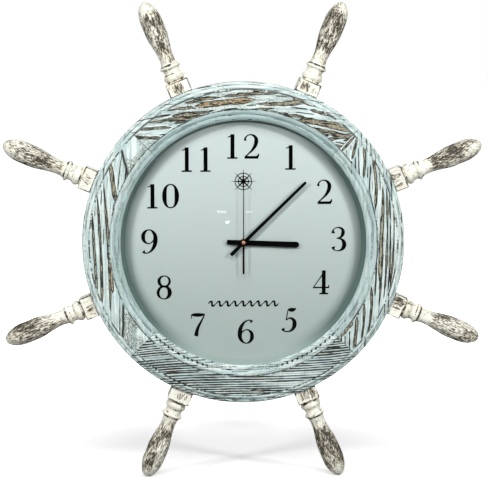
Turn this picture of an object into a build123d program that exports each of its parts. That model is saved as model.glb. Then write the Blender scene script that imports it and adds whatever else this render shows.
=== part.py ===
from build123d import *
from math import cos, radians, sin, sqrt
import os

# Ship wheel clock, in millimetres. The dial faces -Y and +Z is up. The origin is on the dial's
# axis, at half the depth of the rim.

# Rim, across its face from the opening outwards
opening_radius = 145.0
rim_width = 45.0
lip_bead_width = 6.0
fine_groove_width = 0.8
inner_bead_width = 5.9
inner_groove_width = 1.0
outer_groove_width = 1.6
outer_bead_width = 4.4
edge_round = 2.4

# Rim, depths below its front face
lip_bead_foot = 3.0
lip_bead_crown = 1.6
inner_bead_foot = 2.2
inner_bead_crown = 1.6
outer_bead_foot = 1.6
outer_bead_crown = 1.1
groove_undercut = 0.4
edge_drop = 0.7
back_chamfer = 1.0

# Rim, pockets for the glass and the board, and its joints
glass_ledge = 8.0
board_ledge = 7.0
seat_gap = 0.3
segment_angle = 90
segment_centres = {"right": 0, "top": 90, "left": 180, "bottom": 270}
spline_length = 40.0
spline_width = 16.0
spline_thickness = 4.0
spline_gap = 0.1

# Handles, along their length from the rim outwards
handle_count = 8
first_handle_angle = 22.5
block_width = 27.0
block_length = 16.0
block_chamfer = 1.0
block_groove_length = 1.5
collar_length = 8.6
waist_length = 5.8
ring_length = 4.8
cove_length = 8.8
swell_length = 33.0
grip_length = 16.0
grip_end_length = 21.0

# Handles, radii
turned_foot_radius = 10.2
collar_radius = 11.7
waist_radius = 9.6
ring_radius = 12.0
neck_radius = 8.6
grip_radius = 12.7
dowel_radius = 5.0
dowel_in_rim = 24.0
dowel_in_block = 13.0
dowel_gap = 0.1

# Dial
lip_thickness = 6.0
glass_thickness = 2.0
spacer_slope = 5.0
dial_thickness = 0.8
board_thickness = 3.0
board_screw_count = 6
board_screw_radius = 1.25
board_screw_head_radius = 2.6
board_screw_head_height = 1.4
board_screw_length = 10.0
screw_gap = 0.1

# Hanger plate, let into the back of the top segment so that its keyhole is over the recess
hanger_width = 44.0
hanger_height = 40.0
hanger_thickness = 1.5
hanger_corner = 4.0
hanger_inset = 30.0
hanger_gap = 0.2
keyhole_radius = 4.5
keyhole_slot_width = 4.4
keyhole_slot_length = 8.0
keyhole_drop = 10.0
hanger_screw_spacing = 30.0
hanger_screw_rise = 10.0
hanger_screw_radius = 1.4
hanger_screw_head_radius = 2.7
hanger_screw_length = 12.0

# Battery, of the common penlight size
battery_length = 50.5
battery_radius = 7.0
battery_cap_radius = 2.7
battery_cap_length = 1.2
battery_edge = 0.8
battery_gap = 0.1

# Movement case
case_wall = 1.2
bay_floor = 0.8
bay_back_margin = 0.3
contact_space = 1.55
contact_thickness = 0.4
contact_width = 8.0
contact_dimple_radius = 2.2
gear_room_below = 11.4
gear_room_above = 26.8
case_corner = 3.0
cover_thickness = 1.2
cover_gap = 0.1
wall_clearance = 0.4
knob_recess_depth = 2.0
knob_recess_floor = 0.8
knob_radius = 5.6
knob_clearance = 0.6
knob_flutes = 24
knob_flute_depth = 0.4
knob_gap = 0.2
boss_wall = 0.7
boss_height = 1.6
bearing_post_radius = 1.3

# Fixing of the movement: the nut and washer are let into the front of the board, behind the dial
gasket_thickness = 0.6
gasket_radius = 14.0
bushing_wall = 1.45
bushing_flange_width = 1.6
bushing_flange_thickness = 0.5
washer_radius = 8.0
washer_thickness = 0.5
nut_across_flats = 12.0
nut_thickness = 1.4
nut_recess_gap = 0.3
nut_cover_gap = 0.1
thread_over = 0.5
hole_gap = 0.2

# Gear train: tooth counts, centre distances and the directions of the arbors seen from the front
centre_teeth = 60
third_teeth = 64
third_pinion_teeth = 8
second_teeth = 60
second_pinion_teeth = 8
intermediate_teeth = 60
intermediate_pinion_teeth = 10
rotor_pinion_teeth = 12
cannon_teeth = 12
minute_wheel_teeth = 36
minute_pinion_teeth = 10
hour_teeth = 40
setting_teeth = 12
third_distance = 9.0
intermediate_distance = 7.7
rotor_distance = 7.2
motion_distance = 7.5
third_direction = 150
intermediate_direction = 40
rotor_direction = 75
motion_direction = -10
addendum_share = 0.9
dedendum_share = 1.15
tooth_tip_share = 0.09
tooth_root_share = 0.25
arbor_radius = 0.5
setting_arbor_radius = 1.0
wheel_thickness = 0.8
layer_gap = 0.2
running_gap = 0.05
press_gap = 0.02
middle_plate_thickness = 0.8
middle_plate_left = 14.5
middle_plate_right = 19.5
middle_plate_below = 8.5
middle_plate_above = 17.5
middle_plate_post_inset = 2.0
pinion_pass = 0.15

# Motor
magnet_radius = 3.0
magnet_length = 2.0
stator_gap = 0.5
stator_left = 14.0
stator_right = 18.0
stator_rim = 1.1
stator_arm_width = 4.0
stator_thickness = 0.6
core_thickness = 1.2
core_width = 3.0
core_height = 22.5
bobbin_length = 20.0
bobbin_flange_radius = 2.9
bobbin_flange_thickness = 0.6
bobbin_wall = 0.4
winding_gap = 0.2
coil_gap = 0.3

# Circuit board
circuit_width = 10.0
circuit_height = 26.0
circuit_thickness = 0.8
circuit_gap = 0.1
circuit_side_gap = 0.8
circuit_rise = 2.0
crystal_radius = 1.0
crystal_length = 6.0
chip_radius = 2.4
chip_height = 0.8
crystal_rise_share = 0.72
chip_rise_share = 0.3

# Hands, at rest as in the photograph, angles clockwise from 12
hour_hand_angle = 92.3
minute_hand_angle = 45.75
second_hand_angle = 0
hour_hand_length = 66.0
hour_hand_tail = 19.5
hour_hand_tip_width = 6.9
hour_hand_tail_width = 5.8
minute_hand_length = 103.0
minute_hand_tail = 21.0
minute_hand_tip_width = 3.3
minute_hand_tail_width = 4.4
second_hand_length = 82.0
second_hand_tail = 37.0
second_hand_tip_width = 0.8
second_hand_width = 1.3
second_hand_tail_width = 2.3
hand_thickness = 0.4
second_hand_thickness = 0.3
hand_hub_rim = 0.9
bush_rim_width = 0.85
second_hub_rim = 2.05
hand_bush_wall = 0.8
minute_tube_wall = 1.1
hour_pipe_wall = 0.8
hour_hand_lift = 3.0
hand_spacing = 1.3
cap_radius = 2.2
cap_height = 1.0
cap_tube_wall = 0.6
cap_tube_length = 0.9
hand_to_glass = 1.8

# Depths, from the dial forwards to the glass and back to the wall
hands_depth = (thread_over + hour_hand_lift + hand_thickness * 2 + hand_spacing * 2
               + second_hand_thickness + cap_height)
spacer_depth = hands_depth + hand_to_glass
case_depth = bay_floor + battery_gap + battery_radius * 2 + bay_back_margin
rim_depth = (lip_thickness + glass_thickness + spacer_depth + dial_thickness + board_thickness
             + gasket_thickness + case_depth + wall_clearance)
rim_front = -rim_depth / 2
rim_back = rim_depth / 2
glass_front = rim_front + lip_thickness
glass_back = glass_front + glass_thickness
dial_front = glass_back + spacer_depth
dial_back = dial_front + dial_thickness
board_back = dial_back + board_thickness
case_front = board_back + gasket_thickness
case_back = case_front + case_depth
room_front = case_front + case_wall
cover_front = case_back - cover_thickness
nut_front = dial_back + nut_cover_gap
nut_back = nut_front + nut_thickness
washer_back = nut_back + washer_thickness
bushing_front = dial_front - thread_over
hour_hand_back = bushing_front - hour_hand_lift
hour_hand_front = hour_hand_back - hand_thickness
minute_hand_back = hour_hand_front - hand_spacing
minute_hand_front = minute_hand_back - hand_thickness
second_hand_back = minute_hand_front - hand_spacing
second_hand_front = second_hand_back - second_hand_thickness

# Radii across the rim and along a handle
rim_radius = opening_radius + rim_width
glass_pocket_radius = opening_radius + glass_ledge
board_pocket_radius = glass_pocket_radius + board_ledge
glass_radius = glass_pocket_radius - seat_gap
board_radius = board_pocket_radius - seat_gap
board_screw_circle = glass_pocket_radius + board_ledge / 2
hanger_radius = rim_radius - hanger_inset
seat_radius = sqrt(rim_radius ** 2 - (block_width / 2) ** 2)
block_end = seat_radius + block_length
collar_start = block_end + block_groove_length
collar_end = collar_start + collar_length
ring_start = collar_end + waist_length
ring_end = ring_start + ring_length
neck_place = ring_end + cove_length
swell_end = neck_place + swell_length
grip_end = swell_end + grip_length
handle_tip = grip_end + grip_end_length
handle_angles = [first_handle_angle + 360 / handle_count * i for i in range(handle_count)]

# Radii of the tubes that turn inside each other
minute_bore = arbor_radius + running_gap
minute_tube_radius = minute_bore + minute_tube_wall
hour_bore = minute_tube_radius + running_gap
hour_pipe_radius = hour_bore + hour_pipe_wall
bushing_bore = hour_pipe_radius + running_gap
bushing_radius = bushing_bore + bushing_wall

# Layers of the gear train, each given by its front
layer_step = wheel_thickness + layer_gap
hour_layer = room_front + bushing_flange_thickness + layer_gap
minute_layer = hour_layer + layer_step
centre_layer = minute_layer + layer_step
plate_front = centre_layer + layer_step
plate_back = plate_front + middle_plate_thickness
third_layer = plate_back + layer_gap
second_layer = third_layer + layer_step
intermediate_layer = second_layer + layer_step
magnet_front = intermediate_layer + layer_step
magnet_back = magnet_front + magnet_length
coil_depth = cover_front - coil_gap - bobbin_flange_radius
stator_back = coil_depth - core_thickness / 2
stator_front = stator_back - stator_thickness

# Case outline, seen from the front
case_half_width = battery_length / 2 + contact_space + case_wall
bay_height = battery_radius * 2 + battery_gap * 2
bay_top = -gear_room_below - case_wall
bay_bottom = bay_top - bay_height
case_bottom = bay_bottom - case_wall
case_top = gear_room_above + case_wall
battery_height = bay_top - battery_gap - battery_radius
battery_depth = case_front + bay_floor + battery_gap + battery_radius


# Places seen from the front

def polar(distance, direction):
    return (distance * cos(radians(direction)), distance * sin(radians(direction)))


def beyond(place, distance, direction):
    step = polar(distance, direction)
    return (place[0] + step[0], place[1] + step[1])


centre_place = (0, 0)
third_place = polar(third_distance, third_direction)
intermediate_place = polar(intermediate_distance, intermediate_direction)
rotor_place = beyond(intermediate_place, rotor_distance, rotor_direction)
motion_place = polar(motion_distance, motion_direction)
motion_tooth_sum = cannon_teeth + minute_wheel_teeth
setting_distance = motion_distance * (minute_wheel_teeth + setting_teeth) / motion_tooth_sum
setting_place = beyond(motion_place, setting_distance, motion_direction)


# Solids

def facing(depth):
    # a drawing plane seen from the front, at one depth
    return Plane(origin=(0, depth, 0), x_dir=(1, 0, 0), z_dir=(0, -1, 0))


def prism(outline, front, back):
    return extrude(facing(back) * outline, amount=back - front)


def disc(radius, front, back, place=(0, 0)):
    return prism(Pos(*place) * Circle(radius), front, back)


def tube(outer, inner, front, back, place=(0, 0)):
    return prism(Pos(*place) * (Circle(outer) - Circle(inner)), front, back)


def slab(left, right, bottom, top, front, back):
    width = right - left
    height = top - bottom
    middle = ((left + right) / 2, (bottom + top) / 2)
    return prism(Pos(*middle) * Rectangle(width, height), front, back)


def turned_to(angle, shape):
    # from the +X side to an angle counted towards +Z
    return Rot(0, -angle, 0) * shape


def rod(radius, start, end):
    # a round rod along X
    return Pos((start + end) / 2, 0, 0) * Rot(0, 90, 0) * Cylinder(radius, end - start)


def bead(start, end, foot, crown):
    # a rounded moulding between two radii, standing out to the front
    return ThreePointArc((start, foot), ((start + end) / 2, foot - crown), (end, foot))


# Rim

def rim_section():
    lip_end = opening_radius + lip_bead_width
    inner_start = lip_end + fine_groove_width
    inner_end = inner_start + inner_bead_width
    flat_start = inner_end + inner_groove_width
    round_start = rim_radius - edge_round
    outer_end = round_start - fine_groove_width
    outer_start = outer_end - outer_bead_width
    flat_end = outer_start - outer_groove_width
    lip_foot = rim_front + lip_bead_foot
    inner_foot = rim_front + inner_bead_foot
    outer_foot = rim_front + outer_bead_foot
    inner_floor = inner_foot + groove_undercut
    outer_floor = outer_foot + groove_undercut
    round_top = rim_front + edge_drop
    round_foot = round_top + edge_round
    diagonal = edge_round * sqrt(0.5)
    with BuildSketch() as section:
        with BuildLine():
            Line((opening_radius, glass_front), (opening_radius, lip_foot))
            bead(opening_radius, lip_end, lip_foot, lip_bead_crown)
            Polyline((lip_end, lip_foot), (inner_start, lip_foot), (inner_start, inner_foot))
            bead(inner_start, inner_end, inner_foot, inner_bead_crown)
            Polyline((inner_end, inner_foot), (inner_end, inner_floor), (flat_start, inner_floor),
                     (flat_start, rim_front), (flat_end, rim_front), (flat_end, outer_floor),
                     (outer_start, outer_floor), (outer_start, outer_foot))
            bead(outer_start, outer_end, outer_foot, outer_bead_crown)
            Polyline((outer_end, outer_foot), (round_start, outer_foot), (round_start, round_top))
            ThreePointArc((round_start, round_top), (round_start + diagonal, round_foot - diagonal),
                          (rim_radius, round_foot))
            Polyline((rim_radius, round_foot), (rim_radius, rim_back - back_chamfer),
                     (rim_radius - back_chamfer, rim_back), (board_pocket_radius, rim_back),
                     (board_pocket_radius, dial_back), (glass_pocket_radius, dial_back),
                     (glass_pocket_radius, glass_front), (opening_radius, glass_front))
        make_face()
    return section.sketch


def handle_seat():
    # the flat and the dowel hole that one handle takes in the rim, on the +X side
    flat_depth = rim_radius - seat_radius
    flat = Pos(seat_radius + flat_depth, 0, 0) * Box(flat_depth * 2, block_width, block_width)
    return flat + rod(dowel_radius + dowel_gap, seat_radius - dowel_in_rim - dowel_gap, rim_radius)


def spline_body(gap):
    # a loose tongue across one mitre, on the +X side
    middle = (board_pocket_radius + rim_radius) / 2
    grow = gap * 2
    return Pos(middle, 0, 0) * Box(spline_width + grow, spline_thickness + grow, spline_length + grow)


def board_screw_places():
    return [polar(board_screw_circle, 360 / board_screw_count * i) for i in range(board_screw_count)]


def hanger_outline(grow):
    return RectangleRounded(hanger_width + grow * 2, hanger_height + grow * 2, hanger_corner + grow)


def hanger_screw_places():
    height = hanger_radius + hanger_screw_rise
    return [(-hanger_screw_spacing / 2, height), (hanger_screw_spacing / 2, height)]


def hanger_pocket():
    outline = Pos(0, hanger_radius) * hanger_outline(hanger_gap)
    pocket = prism(outline, rim_back - hanger_thickness, rim_back)
    hole_front = rim_back - hanger_screw_length - screw_gap
    for spot in hanger_screw_places():
        pocket += disc(hanger_screw_radius + screw_gap, hole_front, rim_back, spot)
    return pocket


def rim_segment(name):
    centre = segment_centres[name]
    segment = turned_to(centre + segment_angle / 2, revolve(rim_section(), Axis.Y, segment_angle))
    for angle in handle_angles:
        if abs((angle - centre + 180) % 360 - 180) < segment_angle / 2:
            segment -= turned_to(angle, handle_seat())
    for side in (-1, 1):
        segment -= turned_to(centre + side * segment_angle / 2, spline_body(spline_gap))
    for place in board_screw_places():
        hole_front = board_back - board_screw_length - screw_gap
        segment -= disc(board_screw_radius + screw_gap, hole_front, dial_back, place)
    if name == "top":
        segment -= hanger_pocket()
    return segment.solids()[0]


def rim_splines():
    return [turned_to(centre + segment_angle / 2, spline_body(0)) for centre in segment_centres.values()]


# Handles

def handle_section():
    with BuildSketch() as section:
        with BuildLine():
            Polyline((block_end, 0), (block_end, turned_foot_radius), (collar_start, turned_foot_radius))
            ThreePointArc((collar_start, turned_foot_radius),
                          ((collar_start + collar_end) / 2, collar_radius),
                          (collar_end, turned_foot_radius))
            ThreePointArc((collar_end, turned_foot_radius),
                          ((collar_end + ring_start) / 2, waist_radius),
                          (ring_start, turned_foot_radius))
            ThreePointArc((ring_start, turned_foot_radius),
                          ((ring_start + ring_end) / 2, ring_radius),
                          (ring_end, turned_foot_radius))
            TangentArc((neck_place, neck_radius), (ring_end, turned_foot_radius), tangent=(-1, 0))
            Spline((neck_place, neck_radius), (swell_end, grip_radius), tangents=((1, 0), (1, 0)))
            Line((swell_end, grip_radius), (grip_end, grip_radius))
            EllipticalCenterArc((grip_end, 0), grip_end_length, grip_radius, 0, arc_size=90)
            Line((handle_tip, 0), (block_end, 0))
        make_face()
    return section.sketch


def handle(angle):
    block = Pos((seat_radius + block_end) / 2, 0, 0) * Box(block_length, block_width, block_width)
    block = chamfer(block.edges().filter_by(Axis.X), block_chamfer)
    block = chamfer(block.faces().sort_by(Axis.X)[-1].edges(), block_chamfer)
    body = block + revolve(handle_section(), Axis.X)
    body -= rod(dowel_radius + dowel_gap, seat_radius, seat_radius + dowel_in_block + dowel_gap)
    return turned_to(angle, body)


def handle_dowels():
    dowel = rod(dowel_radius, seat_radius - dowel_in_rim, seat_radius + dowel_in_block)
    return [turned_to(angle, dowel) for angle in handle_angles]


# Dial

def glass():
    return disc(glass_radius, glass_front, glass_back)


def spacer_ring():
    with BuildSketch() as section:
        with BuildLine():
            Polyline((opening_radius, glass_back), (glass_radius, glass_back), (glass_radius, dial_front),
                     (opening_radius - spacer_slope, dial_front), close=True)
        make_face()
    return revolve(section.sketch, Axis.Y)


def dial_plate():
    return tube(glass_radius, bushing_radius + hole_gap, dial_front, dial_back)


def backing_board():
    board = tube(board_radius, bushing_radius + hole_gap, dial_back, board_back)
    board -= disc(washer_radius + nut_recess_gap, dial_back, washer_back)
    for place in board_screw_places():
        board -= disc(board_screw_radius + screw_gap, dial_back, board_back, place)
    return board


def screw(shank_radius, head_radius, head_height, under_head, length, place):
    # a round-headed screw whose head stands on the plane under_head, its tip to the front
    head = disc(head_radius, under_head, under_head + head_height, place)
    head = chamfer(head.faces().sort_by(Axis.Y)[-1].edges(), head_height / 2)
    slot = slab(place[0] - head_radius, place[0] + head_radius, place[1] - shank_radius / 3,
                place[1] + shank_radius / 3, under_head + head_height / 2, under_head + head_height)
    return head - slot + disc(shank_radius, under_head - length, under_head, place)


def board_screws():
    return [screw(board_screw_radius, board_screw_head_radius, board_screw_head_height, board_back,
                  board_screw_length, place) for place in board_screw_places()]


# Hanger

def countersink(place):
    # the cone between a screw's shank and its flush head, to the back of the plate
    depth = hanger_screw_head_radius - hanger_screw_radius
    cone = Cone(hanger_screw_head_radius, hanger_screw_radius, depth)
    return Pos(place[0], rim_back - depth / 2, place[1]) * Rot(90, 0, 0) * cone


def hanger_plate():
    place = Pos(0, hanger_radius)
    low = hanger_radius - keyhole_drop
    keyhole = Pos(0, low) * Circle(keyhole_radius)
    keyhole += Pos(0, low + keyhole_slot_length / 2) * Rectangle(keyhole_slot_width, keyhole_slot_length)
    keyhole += Pos(0, low + keyhole_slot_length) * Circle(keyhole_slot_width / 2)
    plate = prism(place * hanger_outline(0) - keyhole, rim_back - hanger_thickness, rim_back)
    for spot in hanger_screw_places():
        plate -= disc(hanger_screw_radius + screw_gap, rim_back - hanger_thickness, rim_back, spot)
        plate -= countersink(spot)
    return plate


def hanger_screws():
    screws = []
    for spot in hanger_screw_places():
        shank = disc(hanger_screw_radius, rim_back - hanger_screw_length, rim_back, spot)
        slot = slab(spot[0] - hanger_screw_head_radius, spot[0] + hanger_screw_head_radius,
                    spot[1] - hanger_screw_radius / 3, spot[1] + hanger_screw_radius / 3,
                    rim_back - hanger_thickness / 3, rim_back)
        screws.append(shank + countersink(spot) - slot)
    return screws


# Movement case

def case_outline(inset):
    width = (case_half_width - inset) * 2
    height = case_top - case_bottom - inset * 2
    return Pos(0, (case_top + case_bottom) / 2) * RectangleRounded(width, height, case_corner)


def housing():
    room_half_width = case_half_width - case_wall
    body = prism(case_outline(0), case_front, case_back)
    body -= slab(-room_half_width, room_half_width, -gear_room_below, gear_room_above, room_front, case_back)
    body -= slab(-room_half_width, room_half_width, bay_bottom, bay_top, case_front + bay_floor, case_back)
    body -= disc(bushing_radius + press_gap, case_front, room_front)
    post_length = arbor_radius * 2
    for place in (third_place, setting_place):
        body += disc(bearing_post_radius + boss_wall, room_front, room_front + post_length, place)
    body -= disc(arbor_radius + running_gap, room_front, room_front + post_length, third_place)
    body -= disc(setting_arbor_radius + running_gap, room_front, room_front + post_length, setting_place)
    body += disc(arbor_radius, room_front, minute_layer + wheel_thickness, motion_place)
    for place in plate_posts():
        body += disc(bearing_post_radius, room_front, plate_front, place)
    return body


def plate_posts():
    left = -middle_plate_left + middle_plate_post_inset
    right = middle_plate_right - middle_plate_post_inset
    low = -middle_plate_below + middle_plate_post_inset
    high = middle_plate_above - middle_plate_post_inset
    return [(left, low), (right, low), (left, high), (right, high)]


def middle_plate():
    plate = slab(-middle_plate_left, middle_plate_right, -middle_plate_below, middle_plate_above,
                 plate_front, plate_back)
    bearing = arbor_radius + running_gap
    holes = [(centre_place, bearing), (third_place, pinion_tip(third_pinion()) + pinion_pass),
             (intermediate_place, bearing), (rotor_place, bearing),
             (setting_place, setting_arbor_radius + running_gap)]
    for place, radius in holes:
        plate -= disc(radius, plate_front, plate_back, place)
    return plate


def cover():
    inside = case_half_width - case_wall - cover_gap
    low = -gear_room_below + cover_gap
    high = gear_room_above - cover_gap
    body = slab(-inside, inside, low, high, cover_front, case_back)
    recess_radius = knob_radius + knob_clearance
    recess_front = case_back - knob_recess_depth - knob_recess_floor
    body += disc(recess_radius + knob_recess_floor, recess_front, case_back, setting_place)
    body -= disc(recess_radius, case_back - knob_recess_depth, case_back, setting_place)
    body -= disc(setting_arbor_radius + running_gap, recess_front, case_back, setting_place)
    for place in (centre_place, third_place, intermediate_place, rotor_place):
        body += disc(arbor_radius + running_gap + boss_wall, cover_front - boss_height, cover_front, place)
        body -= disc(arbor_radius + running_gap, cover_front - boss_height, cover_front, place)
    return body


def bushing():
    body = tube(bushing_radius, bushing_bore, bushing_front, room_front)
    flange_radius = bushing_radius + bushing_flange_width
    return body + tube(flange_radius, bushing_bore, room_front, room_front + bushing_flange_thickness)


def nut():
    flats = RegularPolygon(nut_across_flats / 2, 6, major_radius=False)
    return prism(flats - Circle(bushing_radius + press_gap), nut_front, nut_back)


def washer():
    return tube(washer_radius, bushing_radius + press_gap, nut_back, washer_back)


def gasket():
    return tube(gasket_radius, bushing_radius + hole_gap, board_back, case_front)


# Battery and contacts

def battery():
    half = battery_length / 2
    can = rod(battery_radius, -half, half - battery_cap_length)
    can = chamfer(can.edges(), battery_edge / 2)
    cell = can + rod(battery_cap_radius, half - battery_cap_length, half)
    return Pos(0, battery_depth, battery_height) * cell


def contact(side):
    outside = battery_length / 2 + contact_space - press_gap
    inside = battery_length / 2 + press_gap
    plate = Box(contact_thickness, contact_width, contact_width)
    plate = Pos(side * (outside - contact_thickness / 2), 0, 0) * plate
    dimple = rod(contact_dimple_radius, inside, outside)
    if side < 0:
        dimple = rod(contact_dimple_radius, -outside, -inside)
    return Pos(0, battery_depth, battery_height) * (plate + dimple)


# Gears: each is described by its teeth, its module, the direction of one tooth and its place

def module_of(distance, teeth, mate_teeth):
    return 2 * distance / (teeth + mate_teeth)


def meshed(teeth, direction, towards, mate_teeth):
    # the direction of a mate's tooth that falls in the gap of this gear, on the line between them
    passed = (towards - direction) * teeth / 360
    return towards + 180 - (0.5 - passed) * 360 / mate_teeth


def gear_outline(gear):
    teeth, module, direction, place = gear
    pitch_radius = teeth * module / 2
    tip = pitch_radius + module * addendum_share
    root = pitch_radius - module * dedendum_share
    points = []
    for tooth in range(teeth):
        middle = direction + 360 / teeth * tooth
        for share, radius in ((-tooth_root_share, root), (-tooth_tip_share, tip),
                              (tooth_tip_share, tip), (tooth_root_share, root)):
            points.append(beyond(place, radius, middle + 360 / teeth * share))
    return make_face(Polyline(*points, close=True))


def toothed(gear, front, back):
    return prism(gear_outline(gear), front, back)


def pinion_tip(gear):
    return gear[0] * gear[1] / 2 + gear[1] * addendum_share


motion_module = module_of(motion_distance, cannon_teeth, minute_wheel_teeth)
hour_module = module_of(motion_distance, minute_pinion_teeth, hour_teeth)
third_pinion_module = module_of(third_distance, centre_teeth, third_pinion_teeth)
third_wheel_module = module_of(third_distance, third_teeth, second_pinion_teeth)
second_module = module_of(intermediate_distance, second_teeth, intermediate_pinion_teeth)
intermediate_module = module_of(rotor_distance, intermediate_teeth, rotor_pinion_teeth)


def third_pinion():
    direction = meshed(centre_teeth, 0, third_direction, third_pinion_teeth)
    return (third_pinion_teeth, third_pinion_module, direction, third_place)


def hour_wheel():
    back = hour_layer + wheel_thickness
    direction = meshed(minute_pinion_teeth, 0, motion_direction + 180, hour_teeth)
    wheel = toothed((hour_teeth, hour_module, direction, centre_place), hour_layer, back)
    wheel += disc(hour_pipe_radius, hour_hand_front, hour_layer)
    return wheel - disc(hour_bore, hour_hand_front, back)


def minute_wheel():
    direction = meshed(cannon_teeth, 0, motion_direction, minute_wheel_teeth)
    back = minute_layer + wheel_thickness
    wheel = toothed((minute_wheel_teeth, motion_module, direction, motion_place), minute_layer, back)
    wheel += toothed((minute_pinion_teeth, hour_module, 0, motion_place), hour_layer, minute_layer)
    return wheel - disc(arbor_radius + running_gap, hour_layer, back, motion_place)


def setting_arbor():
    wheel_tooth = meshed(cannon_teeth, 0, motion_direction, minute_wheel_teeth)
    direction = meshed(minute_wheel_teeth, wheel_tooth, motion_direction, setting_teeth)
    pinion = (setting_teeth, motion_module, direction, setting_place)
    arbor = disc(setting_arbor_radius, room_front + layer_gap, case_back - knob_gap * 3, setting_place)
    return arbor + toothed(pinion, minute_layer, minute_layer + wheel_thickness)


def setting_knob():
    floor = case_back - knob_recess_depth
    front = floor + knob_gap
    back = case_back - knob_gap
    knob = disc(knob_radius, front, back, setting_place)
    for flute in range(knob_flutes):
        spot = beyond(setting_place, knob_radius, 360 / knob_flutes * flute)
        knob -= disc(knob_flute_depth, front, back, spot)
    return knob - disc(setting_arbor_radius + press_gap, front, case_back - knob_gap * 3, setting_place)


def centre_wheel():
    back = centre_layer + wheel_thickness
    wheel = toothed((centre_teeth, third_pinion_module, 0, centre_place), centre_layer, back)
    wheel += toothed((cannon_teeth, motion_module, 0, centre_place), minute_layer, centre_layer)
    wheel += disc(minute_tube_radius, minute_hand_front, minute_layer)
    return wheel - disc(minute_bore, minute_hand_front, back)


def third_wheel():
    back = third_layer + wheel_thickness
    wheel = toothed((third_teeth, third_wheel_module, 0, third_place), third_layer, back)
    wheel += toothed(third_pinion(), centre_layer, centre_layer + wheel_thickness)
    return wheel + disc(arbor_radius, room_front + layer_gap, cover_front - layer_gap, third_place)


def second_wheel():
    back = second_layer + wheel_thickness
    direction = meshed(third_teeth, 0, third_direction + 180, second_pinion_teeth)
    pinion = (second_pinion_teeth, third_wheel_module, direction, centre_place)
    wheel = toothed((second_teeth, second_module, 0, centre_place), second_layer, back)
    wheel += toothed(pinion, third_layer, second_layer)
    return wheel + disc(arbor_radius, second_hand_front, cover_front - layer_gap)


def intermediate_wheel():
    back = intermediate_layer + wheel_thickness
    direction = meshed(second_teeth, 0, intermediate_direction, intermediate_pinion_teeth)
    pinion = (intermediate_pinion_teeth, second_module, direction, intermediate_place)
    large = (intermediate_teeth, intermediate_module, 0, intermediate_place)
    wheel = toothed(large, intermediate_layer, back)
    wheel += toothed(pinion, second_layer, intermediate_layer)
    return wheel + disc(arbor_radius, plate_front, cover_front - layer_gap, intermediate_place)


def rotor_pinion():
    direction = meshed(intermediate_teeth, 0, rotor_direction, rotor_pinion_teeth)
    pinion = (rotor_pinion_teeth, intermediate_module, direction, rotor_place)
    wheel = toothed(pinion, intermediate_layer, intermediate_layer + wheel_thickness)
    return wheel + disc(arbor_radius, plate_front, cover_front - layer_gap, rotor_place)


def rotor_magnet():
    return tube(magnet_radius, arbor_radius + press_gap, magnet_front, magnet_back, rotor_place)


# Motor

def stator():
    hole = magnet_radius + stator_gap
    low = rotor_place[1] - hole - stator_rim
    high = rotor_place[1] + hole + stator_rim
    top = core_height + core_width / 2
    plate = slab(-stator_left, stator_right, low, high, stator_front, stator_back)
    plate += slab(-stator_left, stator_arm_width - stator_left, high, top, stator_front, stator_back)
    plate += slab(stator_right - stator_arm_width, stator_right, high, top, stator_front, stator_back)
    return plate - disc(hole, stator_front, stator_back, rotor_place)


def coil_core():
    low = core_height - core_width / 2
    return slab(-stator_left, stator_right, low, low + core_width, stator_back, stator_back + core_thickness)


def coil_place():
    return Pos((stator_right - stator_left) / 2, coil_depth, core_height)


def coil_bobbin():
    half = bobbin_length / 2
    inner = core_thickness + winding_gap
    depth = inner + bobbin_wall * 2
    height = core_width + winding_gap + bobbin_wall * 2
    body = Box(bobbin_length, depth, height)
    for end in (-half, half - bobbin_flange_thickness):
        body += rod(bobbin_flange_radius, end, end + bobbin_flange_thickness)
    return coil_place() * (body - Box(bobbin_length, inner, core_width + winding_gap))


def coil_winding():
    half = bobbin_length / 2 - bobbin_flange_thickness - press_gap
    hole_depth = core_thickness + winding_gap + bobbin_wall * 2 + press_gap * 2
    hole_height = core_width + winding_gap + bobbin_wall * 2 + press_gap * 2
    wire = rod(bobbin_flange_radius - winding_gap / 2, -half, half)
    return coil_place() * (wire - Box(bobbin_length, hole_depth, hole_height))


def circuit_board():
    left = -case_half_width + case_wall + circuit_side_gap
    low = -gear_room_below + circuit_rise
    back = cover_front - circuit_gap
    return slab(left, left + circuit_width, low, low + circuit_height, back - circuit_thickness, back)


def circuit_place(rise_share):
    left = -case_half_width + case_wall + circuit_side_gap
    low = -gear_room_below + circuit_rise
    return (left + circuit_width / 2, low + circuit_height * rise_share)


def quartz_crystal():
    place = circuit_place(crystal_rise_share)
    depth = cover_front - circuit_gap - circuit_thickness - crystal_radius - press_gap
    can = Cylinder(crystal_radius, crystal_length)
    can = fillet(can.edges(), crystal_radius / 4)
    return Pos(place[0], depth, place[1]) * can


def chip():
    back = cover_front - circuit_gap - circuit_thickness
    drop = disc(chip_radius, back - chip_height, back, circuit_place(chip_rise_share))
    return fillet(drop.faces().sort_by(Axis.Y)[0].edges(), chip_height / 2)


# Hands

def bar_outline(tail, length, tail_width, tip_width):
    # a tapered bar with a square tail and a round tip, pointing to 12
    shoulder = length - tip_width / 2
    with BuildSketch() as outline:
        with BuildLine():
            Polyline((-tip_width / 2, shoulder), (-tail_width / 2, -tail), (tail_width / 2, -tail),
                     (tip_width / 2, shoulder))
            ThreePointArc((tip_width / 2, shoulder), (0, length), (-tip_width / 2, shoulder))
        make_face()
    return outline.sketch


def hand(outline, hub_radius, hole_radius, front, back, clock_angle):
    drawn = Rot(0, 0, -clock_angle) * (outline + Circle(hub_radius))
    return prism(drawn - Circle(hole_radius), front, back)


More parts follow.
